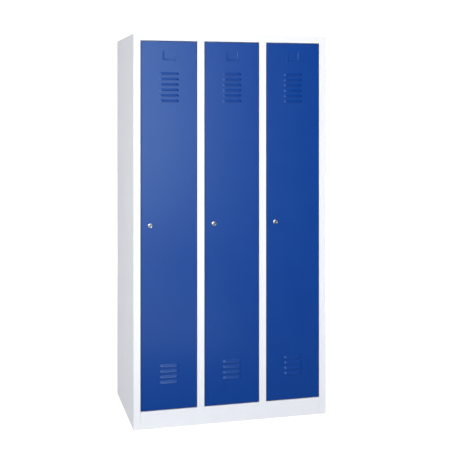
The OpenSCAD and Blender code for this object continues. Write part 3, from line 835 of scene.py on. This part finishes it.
class LOCKER_OT_inner_sheets(bpy.types.Operator):
    """Builds the partitions, the compartment floor and the rear plinth"""

    bl_idname = "locker.inner_sheets"
    bl_label = "Inner Sheets"

    def execute(self, context):
        sheet = context.scene.locker_sheet
        half = SHEET / 2
        for node in ("left_partition", "right_partition"):
            low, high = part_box(node)
            wall = low.x + half
            flange = low.x + SHEET + sheet.flange
            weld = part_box(node.replace("partition", "mullion"))[1].x - STOP_LIP - SHEET - WELD_GAP
            near, far = low.y + half, high.y - half
            work = bmesh.new()
            shell = [(weld, near), (wall, near), (wall, far), (flange, far)]
            draw_fold(work, shell, (low.z, OPEN_Z1 - STOP_LIP), drawn_up, sheet.fold_radius)
            shell[0:2] = [(wall, STOP_BACK_Y)]
            draw_fold(work, shell, (OPEN_Z1 - STOP_LIP, high.z), drawn_up, sheet.fold_radius)
            ends = (STOP_BACK_Y + sheet.flange, high.y - SHEET)
            for level in (low.z + half, high.z - half):
                edge = [(wall + half, level), (flange, level)]
                draw_fold(work, edge, ends, drawn_back, sheet.fold_radius)
            add_body_sheet(f"{node}_wall", work, node)

        low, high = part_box("floor_panel")
        work = bmesh.new()
        top = high.z - half
        left, right = low.x + half, high.x - half
        tray = [(left, low.z), (left, top), (right, top), (right, low.z)]
        front, rear = low.y + sheet.flange, high.y - sheet.flange
        draw_fold(work, tray, (front, rear), drawn_back, sheet.fold_radius)
        for ends in ((low.y, front), (rear, high.y)):
            draw_fold(work, [(low.x, top), (high.x, top)], ends, drawn_back, sheet.fold_radius)
        add_body_sheet("compartment_floor", work, "floor_panel")

        low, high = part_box("plinth_rear")
        back = high.y - half
        work = bmesh.new()
        channel = [(low.y, half), (back, half), (back, high.z - half), (low.y, high.z - half)]
        draw_fold(work, channel, (low.x, high.x), drawn_across, sheet.fold_radius)
        add_body_sheet("rear_plinth_channel", work, "plinth_rear")
        return {"FINISHED"}


class LOCKER_OT_roof_and_back(bpy.types.Operator):
    """Dresses the back panel and the roof panel"""

    bl_idname = "locker.roof_and_back"
    bl_label = "Roof and Back"

    def execute(self, context):
        paint = finish_for("body powder coat")
        dress_node("back_panel", paint, bevel=0.0003)
        dress_node("roof_panel", paint, bevel=0.0003)
        return {"FINISHED"}


class LOCKER_OT_hat_shelves(bpy.types.Operator):
    """Builds a hat shelf in each compartment, with its four edges folded down"""

    bl_idname = "locker.hat_shelves"
    bl_label = "Hat Shelves"

    def execute(self, context):
        radius = context.scene.locker_sheet.fold_radius
        inset = radius + SHEET / 2
        for bay in BAYS:
            low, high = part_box(f"hat_shelf_{bay}")
            work = bmesh.new()
            draw_pan(
                work, (low.x + inset, high.x - inset), [(low.y + inset, None), (high.y - inset, None)],
                lambda a, rise: 0.0, fold_rings(radius, high.z - SHEET / 2 - low.z),
                lambda a, b, down: (a, b, high.z - SHEET / 2 - down),
            )
            add_body_sheet(f"hat_shelf_tray_{bay}", work, f"hat_shelf_{bay}")
        return {"FINISHED"}


# ---- Interior fittings ----


class LOCKER_OT_coat_rails(bpy.types.Operator):
    """Builds the oval coat rails and their rivets, and dresses the brackets"""

    bl_idname = "locker.coat_rails"
    bl_label = "Coat Rails"

    def execute(self, context):
        wall = context.scene.locker_fitting.rail_wall
        for bay in BAYS:
            low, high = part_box(f"coat_rail_{bay}")
            middle = (low + high) / 2
            tall, wide = high.z - low.z, high.y - low.y
            work = bmesh.new()

            def ring(x, shrink):
                outline = oval(tall - 2 * shrink, wide - 2 * shrink)
                return [(x, middle.y + y, middle.z + z) for y, z in outline]

            tube = [ring(low.x, 0.0), ring(high.x, 0.0), ring(high.x, wall), ring(low.x, wall)]
            draw_rings(work, tube, closed=True)
            add_piece(
                f"coat_rail_tube_{bay}", work, finish_for("rail tube"), "carcass",
                (f"coat_rail_{bay}",),
            )
        dress_node("rail_brackets", finish_for("bracket plastic"), bevel=0.0005)
        self.rivets()
        return {"FINISHED"}

    def rivets(self):
        """Two domed rivets through each bracket foot."""
        low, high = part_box("bracket_rivets")
        head = high.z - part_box("hat_shelf_1")[1].z
        length = high.z - low.z
        radius = RIVET_RADIUS
        work = bmesh.new()
        for x in rivet_columns(low.x + radius):
            for y in (low.y + radius, high.y - radius):
                dome = [(head * rise, radius * reach) for rise, reach in quarter(6)]
                shank = [(head, radius / 2), (length - head, radius / 2)]
                outline = dome + shank + [(length - along, reach) for along, reach in reversed(dome)]
                draw_turned(work, (x, y, low.z), (0, 0, 1), outline, segments=32)
        add_piece(
            "bracket_rivet_set", work, finish_for("zinc plate"), "carcass", ("bracket_rivets",),
        )


def rivet_columns(first):
    """The x of each pair of rivets, at both ends of each rail, from the x of the first pair."""
    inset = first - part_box("coat_rail_1")[0].x
    columns = []
    for bay in BAYS:
        rail_low, rail_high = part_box(f"coat_rail_{bay}")
        columns += [rail_low.x + inset, rail_high.x - inset]
    return columns


class LOCKER_OT_coat_hooks(bpy.types.Operator):
    """Builds the sliding coat hooks: a loop round the rail and a round-ended hook below it"""

    bl_idname = "locker.coat_hooks"
    bl_label = "Coat Hooks"

    def execute(self, context):
        fitting = context.scene.locker_fitting
        loop_t, shank_t = fitting.hook_loop, fitting.hook_shank
        rail_low, rail_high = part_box("coat_rail_1")
        rail_y = (rail_low.y + rail_high.y) / 2
        rail_z = (rail_low.z + rail_high.z) / 2
        for number in HOOKS:
            low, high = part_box(f"coat_hook_{number}")
            x = (low.x + high.x) / 2
            wide = high.x - low.x
            loop_half = high.z - rail_z
            loop_side = loop_half - (rail_high.z - rail_z) + (rail_high.y - rail_y)
            ring_r = (high.y - low.y - shank_t) / 2
            ring_z = low.z + shank_t / 2 + ring_r
            work = bmesh.new()
            middle = [
                (x, rail_y + y, rail_z + z)
                for y, z in oval(2 * loop_half - loop_t, 2 * loop_side - loop_t, segments=20)
            ]
            draw_drawn(work, middle, lambda t: rounded_box(wide, loop_t, HOOK_LOOP_CORNER), closed=True)
            curve = [(x, rail_y, rail_z - loop_half + loop_t / 2)]
            steps = 36
            for k in range(steps + 1):
                angle = math.pi / 2 - math.radians(270) * k / steps
                curve.append((x, rail_y + ring_r * math.cos(angle), ring_z + ring_r * math.sin(angle)))

            def section(t):
                ease = min(1.0, (1.0 - t) / HOOK_TIP)
                size = math.sqrt(max(1.0 - (1.0 - ease) ** 2, HOOK_TIP_LEAST))
                return rounded_box(wide * size, shank_t * size, HOOK_CORNER * size)

            draw_drawn(work, curve, section)
            add_piece(
                f"coat_hook_moulding_{number}", work, finish_for("hook plastic"), f"hook_{number}",
                (f"coat_hook_{number}",),
            )
        return {"FINISHED"}


# ---- Doors ----


def louvre_out(across, rise, vent, proud):
    """How far the face stands out at a distance from a louvre's middle and a height above its slot."""
    if rise is None:
        return 0.0
    beyond = max(0.0, abs(across) - (vent.length / 2 - vent.height))
    reach = math.hypot(rise, beyond) / vent.height
    out = proud * (1.0 - reach ** vent.fullness)
    soft = vent.softness
    blend = min(1.0, max(0.0, 0.5 + 0.5 * out / soft))
    return min(proud, out * blend + soft * blend * (1.0 - blend))


def spread(start, end, step):
    """Numbers from start up to, but not at, end, evenly spaced by about a step."""
    count = max(1, round((end - start) / step))
    return [start + (end - start) * k / count for k in range(count)]


def door_columns(left, right, middle, vent):
    """The columns of a door face: fine over the round ends of the louvres, wide elsewhere."""
    end = vent.length / 2 + vent.softness
    flat = vent.length / 2 - vent.height
    columns = [left]
    columns += spread(middle - end, middle - flat, LOUVRE_MESH_STEP)
    columns += spread(middle - flat, middle + flat, PLAIN_MESH_STEP)
    columns += spread(middle + flat, middle + end, LOUVRE_MESH_STEP)
    columns += [middle + end, right]
    return columns


def door_rows(low, high, vent):
    """The rows of a door face: fine over each louvre, with a free edge at its slot."""
    slots = [vent.slot_low + k * vent.pitch for k in range(vent.low_count)]
    slots += [vent.slot_top - k * vent.pitch for k in range(vent.top_count)]
    reach = vent.height + vent.softness
    rows = [(low, None)]
    for slot in sorted(slots):
        rows.append((slot, None))
        rows += [(slot + rise, rise) for rise in spread(0.0, reach, LOUVRE_MESH_STEP)]
        rows.append((slot + vent.height + vent.softness, None))
    rows.append((high, None))
    return rows


class VentLayout:
    """The louvre settings of one door with the heights of its slots."""

    def __init__(self, vent, low, high):
        self.height, self.length = vent.height, vent.length
        self.softness, self.fullness = vent.softness, vent.fullness
        self.pitch, self.low_count, self.top_count = vent.pitch, vent.low_count, vent.top_count
        self.slot_low = low.z + vent.low_rise
        self.slot_top = high.z - vent.top_drop


class LOCKER_OT_doors(bpy.types.Operator):
    """Builds the three louvred door pans"""

    bl_idname = "locker.doors"
    bl_label = "Doors"

    def execute(self, context):
        sheet = context.scene.locker_sheet
        radius, half = sheet.fold_radius, sheet.door_sheet / 2
        inset = radius + half
        for bay in BAYS:
            low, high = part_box(f"door_skin_{bay}")
            proud = FRONT_Y - low.y
            middle = (low.x + high.x) / 2
            vent = VentLayout(context.scene.locker_vent, low, high)
            work = bmesh.new()
            draw_pan(
                work,
                door_columns(low.x + inset, high.x - inset, middle, vent),
                door_rows(low.z + inset, high.z - inset, vent),
                lambda a, rise: -louvre_out(a - middle, rise, vent, proud),
                fold_rings(radius, high.y - FRONT_Y - sheet.door_sheet, lip=sheet.door_lip - half),
                lambda a, b, depth: (a, FRONT_Y + half + depth, b),
            )
            add_door_sheet(
                f"door_pan_{bay}", work, bay, f"door_skin_{bay}", sheet.door_sheet, self.lock_hole(bay),
            )
            self.stiffener(bay, sheet)
        return {"FINISHED"}

    def lock_hole(self, bay):
        """The centre, radius and length of the hole for the lock barrel."""
        low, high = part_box(f"lock_body_{bay}")
        nut_low, nut_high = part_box(f"lock_nut_{bay}")
        barrel = (nut_high.z - nut_low.z) / 2 - NUT_WALL
        x, z = face_middle(low, high)
        return (x, FRONT_Y, z), barrel + BARREL_PLAY, LOCK_HOLE_LENGTH

    def stiffener(self, bay, sheet):
        """The hat-shaped channel behind the door face."""
        low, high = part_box(f"door_stiffener_{bay}")
        half = sheet.door_sheet / 2
        middle = (low.x + high.x) / 2
        foot = (high.x - low.x) / 2
        wall = foot / 2 + half
        near, far = low.y + half, high.y - half
        work = bmesh.new()
        path = [(-foot, near), (-wall, near), (-wall, far), (wall, far), (wall, near), (foot, near)]
        draw_fold(
            work, path, (low.z, high.z), lambda a, depth, up: (middle + a, depth, up), sheet.fold_radius,
        )
        add_door_sheet(
            f"stiffening_channel_{bay}", work, bay, f"door_stiffener_{bay}", sheet.door_sheet,
        )


class LOCKER_OT_card_holders(bpy.types.Operator):
    """Builds the card holder near the top of each door, a channel round three sides"""

    bl_idname = "locker.card_holders"
    bl_label = "Card Holders"

    def execute(self, context):
        sheet, rail = context.scene.locker_sheet, context.scene.locker_fitting.card_rail
        half = sheet.door_sheet / 2
        radius = HOLDER_FOLD_RADIUS
        for bay in BAYS:
            low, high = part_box(f"label_frame_{bay}")
            out = high.y - low.y
            profile = [(half, 0.0), (half, out - half - radius)]
            for rise, reach in quarter(6, first=1):
                profile.append((half + radius * rise, out - half - radius * (1 - reach)))
            fall = rail - half - radius
            for k in range(1, 6):
                profile.append((half + radius + fall * k / 5, out - half - HOLDER_FALL * (k / 5) ** 2))
            work = bmesh.new()
            lines = []
            for inward, proud in profile:
                y = high.y - proud
                lines.append([
                    work.verts.new(p) for p in (
                        (low.x + inward, y, high.z), (low.x + inward, y, low.z + inward),
                        (high.x - inward, y, low.z + inward), (high.x - inward, y, high.z),
                    )
                ])
            for a, b in zip(lines, lines[1:]):
                for k in range(3):
                    work.faces.new((a[k], a[k + 1], b[k + 1], b[k]))
            add_door_sheet(f"card_holder_{bay}", work, bay, f"label_frame_{bay}", sheet.door_sheet)
        return {"FINISHED"}


# ---- Locks ----


def slot_reach(width, height, least=0.0):
    """The distance from the middle of a slot to its edge, by angle from the vertical."""
    def reach(angle):
        across = abs(math.sin(angle))
        up = abs(math.cos(angle))
        return max(least, min(width / 2 / max(across, 1e-6), height / 2 / max(up, 1e-6)))
    return reach


def hex_reach(across_flats):
    """The distance from the middle of a hexagon to its edge, by angle."""
    def reach(angle):
        return across_flats / 2 / math.cos((angle % (math.pi / 3)) - math.pi / 6)
    return reach


class LOCKER_OT_locks(bpy.types.Operator):
    """Builds the lock bodies, plugs and cam screws, and dresses the nuts and cams"""

    bl_idname = "locker.locks"
    bl_label = "Locks"

    def execute(self, context):
        fitting = context.scene.locker_fitting
        for bay in BAYS:
            self.lock_body(bay, fitting)
            self.plug(bay, fitting)
            self.cam_screw(bay)
            dress_node(f"lock_nut_{bay}", finish_for("zinc plate"), bevel=0.0004)
            dress_node(f"lock_cam_{bay}", finish_for("zinc plate"), bevel=0.0003)
        return {"FINISHED"}

    def lock_body(self, bay, fitting):
        """A bright ring with a threaded barrel behind it."""
        low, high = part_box(f"lock_body_{bay}")
        plug_low, plug_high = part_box(f"lock_plug_{bay}")
        x, z = face_middle(low, high)
        face_r = (high.x - low.x) / 2
        nut_low, nut_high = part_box(f"lock_nut_{bay}")
        barrel_r = (nut_high.z - nut_low.z) / 2 - NUT_WALL
        bore_r = (plug_high.x - plug_low.x) / 2 + PLUG_PLAY
        proud = FRONT_Y - low.y
        length = high.y - FRONT_Y
        outline = [
            (length, bore_r), (-proud + 0.0006, bore_r), (-proud + 0.0004, bore_r + 0.0002),
            (-proud + 0.0002, bore_r + 0.0006), (-proud, bore_r + 0.0010), (-proud, bore_r + 0.0014),
            (-proud + 0.0001, bore_r + 0.0018), (-proud + 0.0011, face_r - 0.0005),
            (-proud + 0.0014, face_r - 0.0001), (-proud + 0.0017, face_r), (0.0, face_r), (0.0, barrel_r),
        ]
        pitch = fitting.thread_pitch
        threads = int((length - 2 * THREAD_START) / pitch)
        for k in range(threads):
            start = THREAD_START + k * pitch
            outline += [(start, barrel_r), (start + pitch / 2, barrel_r - THREAD_DEPTH)]
        outline += [(length - 0.0006, barrel_r - 0.0002), (length, barrel_r - 0.0008), (length, bore_r)]
        work = bmesh.new()
        draw_turned(work, (x, FRONT_Y, z), (0, 1, 0), outline, segments=72)
        add_piece(
            f"lock_ring_{bay}", work, finish_for("bright lock metal"), f"door_{bay}",
            (f"lock_body_{bay}",),
        )

    def plug(self, bay, fitting):
        """The turning plug with its key slot and the square shank for the cam."""
        low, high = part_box(f"lock_plug_{bay}")
        x, z = face_middle(low, high)
        radius = (high.x - low.x) / 2
        slot = slot_reach(fitting.key_width, fitting.key_height)
        wide_slot = slot_reach(fitting.key_width + KEY_SLOT_BEVEL, fitting.key_height + KEY_SLOT_BEVEL)
        shank = slot_reach(CAM_SQUARE, CAM_SQUARE)
        front = low.y - FRONT_Y
        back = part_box(f"lock_cam_{bay}")[0].y - FRONT_Y
        outline = [
            (front + KEY_SLOT_DEPTH, 0.0), (front + KEY_SLOT_DEPTH, slot),
            (front + 0.0003, slot), (front, wide_slot),
            (front, radius - 0.0006), (front + 0.0002, radius - 0.0002), (front + 0.0006, radius),
            (back, radius), (back, shank), (high.y - FRONT_Y, shank), (high.y - FRONT_Y, 0.0),
        ]
        work = bmesh.new()
        draw_turned(work, (x, FRONT_Y, z), (0, 1, 0), outline, segments=96)
        add_piece(
            f"key_plug_{bay}", work, finish_for("plug metal"), f"lock_{bay}",
            (f"lock_plug_{bay}",),
        )

    def cam_screw(self, bay):
        """The domed socket screw behind the cam."""
        low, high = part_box(f"cam_screw_{bay}")
        x, z = face_middle(low, high)
        radius = (high.x - low.x) / 2
        head = high.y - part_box(f"lock_cam_{bay}")[1].y
        end = high.y - low.y
        socket, mouth = hex_reach(SCREW_SOCKET), hex_reach(SCREW_MOUTH)
        floor, shank = end - SCREW_SOCKET_DEPTH, SCREW_SHANK_RADIUS
        outline = [(floor, 0.0), (floor, socket), (end - 0.0001, socket), (end, mouth)]
        for k in range(7):
            outline.append((end - head * 0.8 * (k / 6) ** 2, radius * (0.55 + 0.45 * math.sqrt(k / 6))))
        outline += [(end - head, radius), (end - head, shank)]
        outline += [(0.0004, shank), (0.0, shank - 0.0004), (0.0, 0.0)]
        work = bmesh.new()
        draw_turned(work, (x, low.y, z), (0, 1, 0), outline, segments=48)
        add_piece(
            f"cam_socket_screw_{bay}", work, finish_for("zinc plate"), f"lock_{bay}",
            (f"cam_screw_{bay}",),
        )


class LOCKER_OT_pivots(bpy.types.Operator):
    """Dresses the pivot bushes, pins and blocks, and builds the rubber door buffers"""

    bl_idname = "locker.pivots"
    bl_label = "Pivots and Buffers"

    def execute(self, context):
        dress_node("pivot_bushes", finish_for("bush nylon"), bevel=0.0002)
        for bay in BAYS:
            dress_node(f"pivot_pins_{bay}", finish_for("zinc plate"), bevel=0.0002)
            dress_node(f"pivot_blocks_{bay}", finish_for("zinc plate"), bevel=0.0004)
        self.buffers()
        return {"FINISHED"}

    def buffers(self):
        """A domed rubber buffer high and low on the lock side of each opening."""
        low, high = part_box("door_buffers")
        thick = high.y - low.y
        radius = STILE_X + STOP_LIP / 2 - low.x
        work = bmesh.new()
        for bay in BAYS:
            x = door_opening(bay)[0] + STOP_LIP / 2
            for z in (low.z + radius, high.z - radius):
                outline = [(0.0, 0.0)]
                for rise, reach in quarter(7, first=1):
                    outline.append((thick * 0.7 * rise, radius * (0.35 + 0.65 * reach)))
                outline += [(thick, radius), (thick, 0.0)]
                draw_turned(work, (x, low.y, z), (0, 1, 0), outline, segments=40)
        add_piece(
            "door_buffer_set", work, finish_for("buffer rubber"), "carcass", ("door_buffers",),
        )


# ---- Stage ----


def aim(thing, target):
    """Turns a light to face a point."""
    thing.rotation_euler = (Vector(target) - thing.location).to_track_quat("-Z", "Y").to_euler()


def add_panel_light(name, place, target, width, height, power, colour):
    """A soft rectangular light."""
    data = bpy.data.lights.new(name, "AREA")
    data.shape = "RECTANGLE"
    data.size = width
    data.size_y = height
    data.energy = power
    data.color = colour
    light = bpy.data.objects.new(name, data)
    light.location = place
    aim(light, target)
    light.visible_camera = False
    bpy.context.scene.collection.objects.link(light)


class LOCKER_OT_stage(bpy.types.Operator):
    """Builds the pale floor, the soft lights and the camera"""

    bl_idname = "locker.stage"
    bl_label = "Stage"

    def execute(self, context):
        self.floor()
        self.sky(context.scene)
        self.lights(context.scene.locker_stage)
        self.camera(context.scene)
        return {"FINISHED"}

    def floor(self):
        """A wide, plain, nearly white floor that melts into the surround."""
        finish, nodes, links, shader, place = new_finish("studio floor")
        cloud = add_noise(nodes, links, place, 0.8, detail=2.0)
        tint(nodes, links, cloud, (0.90, 0.895, 0.875), 0.995, 1.005, shader.inputs["Base Color"])
        shader.inputs["Roughness"].default_value = 0.9
        shader.inputs["Specular IOR Level"].default_value = 0.1
        glow = nodes.new("ShaderNodeEmission")
        glow.inputs["Color"].default_value = (1.0, 0.995, 0.97, 1.0)
        away = nodes.new("ShaderNodeVectorMath")
        away.operation = "LENGTH"
        links.new(place, away.inputs[0])
        vary(nodes, links, away.outputs["Value"], 1.22, 1.6, glow.inputs["Strength"], at=(1.0, 4.0))
        pale = nodes.new("ShaderNodeMixShader")
        pale.inputs["Fac"].default_value = 0.72
        links.new(shader.outputs["BSDF"], pale.inputs[1])
        links.new(glow.outputs["Emission"], pale.inputs[2])
        path = nodes.new("ShaderNodeLightPath")
        seen = nodes.new("ShaderNodeMixShader")
        links.new(path.outputs["Is Camera Ray"], seen.inputs["Fac"])
        links.new(shader.outputs["BSDF"], seen.inputs[1])
        links.new(pale.outputs["Shader"], seen.inputs[2])
        links.new(seen.outputs["Shader"], nodes["Material Output"].inputs["Surface"])
        work = bmesh.new()
        bmesh.ops.create_circle(work, cap_ends=True, radius=14.0, segments=96)
        mesh = bpy.data.meshes.new("studio_floor")
        work.to_mesh(mesh)
        work.free()
        mesh.materials.append(finish)
        floor = bpy.data.objects.new("studio_floor", mesh)
        floor.location.z = -0.0005
        floor.visible_glossy = False
        bpy.context.scene.collection.objects.link(floor)

    def sky(self, scene):
        """A surround that is white to look at, dim in reflections and soft in the light it gives."""
        world = bpy.data.worlds.new("studio surround")
        world.use_nodes = True
        scene.world = world
        nodes, links = world.node_tree.nodes, world.node_tree.links
        path = nodes.new("ShaderNodeLightPath")
        soft = nodes["Background"]
        soft.inputs["Color"].default_value = (0.93, 0.96, 1.0, 1.0)
        soft.inputs["Strength"].default_value = 0.12
        last = soft
        for ray, strength in (("Is Glossy Ray", 0.03), ("Is Camera Ray", 1.05)):
            seen = nodes.new("ShaderNodeBackground")
            seen.inputs["Color"].default_value = (1.0, 1.0, 1.0, 1.0)
            seen.inputs["Strength"].default_value = strength
            mix = nodes.new("ShaderNodeMixShader")
            links.new(path.outputs[ray], mix.inputs["Fac"])
            links.new(last.outputs[0], mix.inputs[1])
            links.new(seen.outputs["Background"], mix.inputs[2])
            last = mix
        links.new(last.outputs[0], nodes["World Output"].inputs["Surface"])

    def lights(self, stage):
        """A key high on the left, panels round the camera, a board on the floor and two fills."""
        front = (0.0, FRONT_Y, ROOF_Z / 2)
        warm, plain, cool = (1.0, 0.995, 0.98), (1.0, 1.0, 1.0), (0.97, 0.985, 1.0)
        for name, place, target, width, height, power, colour in (
            ("key_light", (-4.8, -5.8, 5.4), front, 2.7, 2.2, stage.key_power, warm),
            ("tall_panel", (-0.2, -4.9, 1.6), (-0.2, FRONT_Y, 1.6), 2.1, 2.6, stage.panel_power, cool),
            ("edge_panel", (1.2, -4.9, 1.35), (1.2, FRONT_Y, 1.35), 0.75, 2.5, stage.edge_power, cool),
            ("bounce_board", (-0.4, -2.75, 0.02), (-0.4, -2.75, 1.0), 1.6, 2.9, stage.bounce_power, cool),
            ("upper_panel", (-0.2, -4.9, 3.75), (-0.2, FRONT_Y, 3.75), 2.4, 1.4, stage.upper_power, cool),
            ("overhead_panel", (-0.2, -2.7, 5.2), (-0.2, -2.7, 0.0), 3.0, 3.2, stage.overhead_power, cool),
            ("left_panel", (-2.6, -5.0, 2.0), (-0.2, FRONT_Y, 1.0), 1.1, 1.7, stage.left_power, cool),
            ("side_light", (-4.2, -0.6, 1.0), (LEFT_X, 0.0, 0.6), 2.0, 2.4, stage.side_power, plain),
            ("back_light", (3.2, 4.2, 3.4), (0.2, 0.2, 1.0), 3.0, 3.0, stage.back_power, plain),
        ):
            add_panel_light(name, place, target, width, height, power, colour)

    def camera(self, scene):
        """A level camera whose lens is shifted, so that upright edges stay upright."""
        stage = scene.locker_stage
        data = bpy.data.cameras.new("camera")
        data.sensor_width = 36.0
        data.lens = stage.lens
        data.shift_x, data.shift_y = stage.shift
        data.clip_end = 100.0
        camera = bpy.data.objects.new("camera", data)
        camera.location = stage.camera_place
        camera.rotation_euler = (math.pi / 2, 0.0, -stage.camera_turn)
        scene.collection.objects.link(camera)
        scene.camera = camera
        scene.view_settings.view_transform = "Standard"
        scene.view_settings.look = "None"


# ---- Add-on ----

STEPS = (
    LOCKER_OT_side_panels,
    LOCKER_OT_mullions,
    LOCKER_OT_front_rails,
    LOCKER_OT_inner_sheets,
    LOCKER_OT_roof_and_back,
    LOCKER_OT_hat_shelves,
    LOCKER_OT_coat_rails,
    LOCKER_OT_coat_hooks,
    LOCKER_OT_doors,
    LOCKER_OT_card_holders,
    LOCKER_OT_locks,
    LOCKER_OT_pivots,
    LOCKER_OT_stage,
)

SETTINGS = {
    "locker_sheet": LockerSheetSettings,
    "locker_vent": LockerVentSettings,
    "locker_fitting": LockerFittingSettings,
    "locker_paint": LockerPaintSettings,
    "locker_stage": LockerStageSettings,
}


class LOCKER_PT_builder(bpy.types.Panel):
    """Lists the settings and the steps of the locker"""

    bl_idname = "LOCKER_PT_builder"
    bl_label = "Clothes Locker"
    bl_space_type = "VIEW_3D"
    bl_region_type = "UI"
    bl_category = "Locker"

    def draw(self, context):
        for name, settings in SETTINGS.items():
            box = self.layout.box()
            box.label(text=settings.__doc__)
            for key in settings.__annotations__:
                box.prop(getattr(context.scene, name), key)
        column = self.layout.column(align=True)
        for step in STEPS:
            column.operator(step.bl_idname)


def register():
    for settings in SETTINGS.values():
        bpy.utils.register_class(settings)
    for step in STEPS:
        bpy.utils.register_class(step)
    bpy.utils.register_class(LOCKER_PT_builder)
    for name, settings in SETTINGS.items():
        setattr(bpy.types.Scene, name, bpy.props.PointerProperty(type=settings))


def unregister():
    for name in SETTINGS:
        delattr(bpy.types.Scene, name)
    bpy.utils.unregister_class(LOCKER_PT_builder)
    for step in reversed(STEPS):
        bpy.utils.unregister_class(step)
    for settings in SETTINGS.values():
        bpy.utils.unregister_class(settings)


def main():
    """Builds everything in order."""
    register()
    for step in STEPS:
        group, name = step.bl_idname.split(".")
        getattr(getattr(bpy.ops, group), name)()


if __name__ == "__main__":
    main()
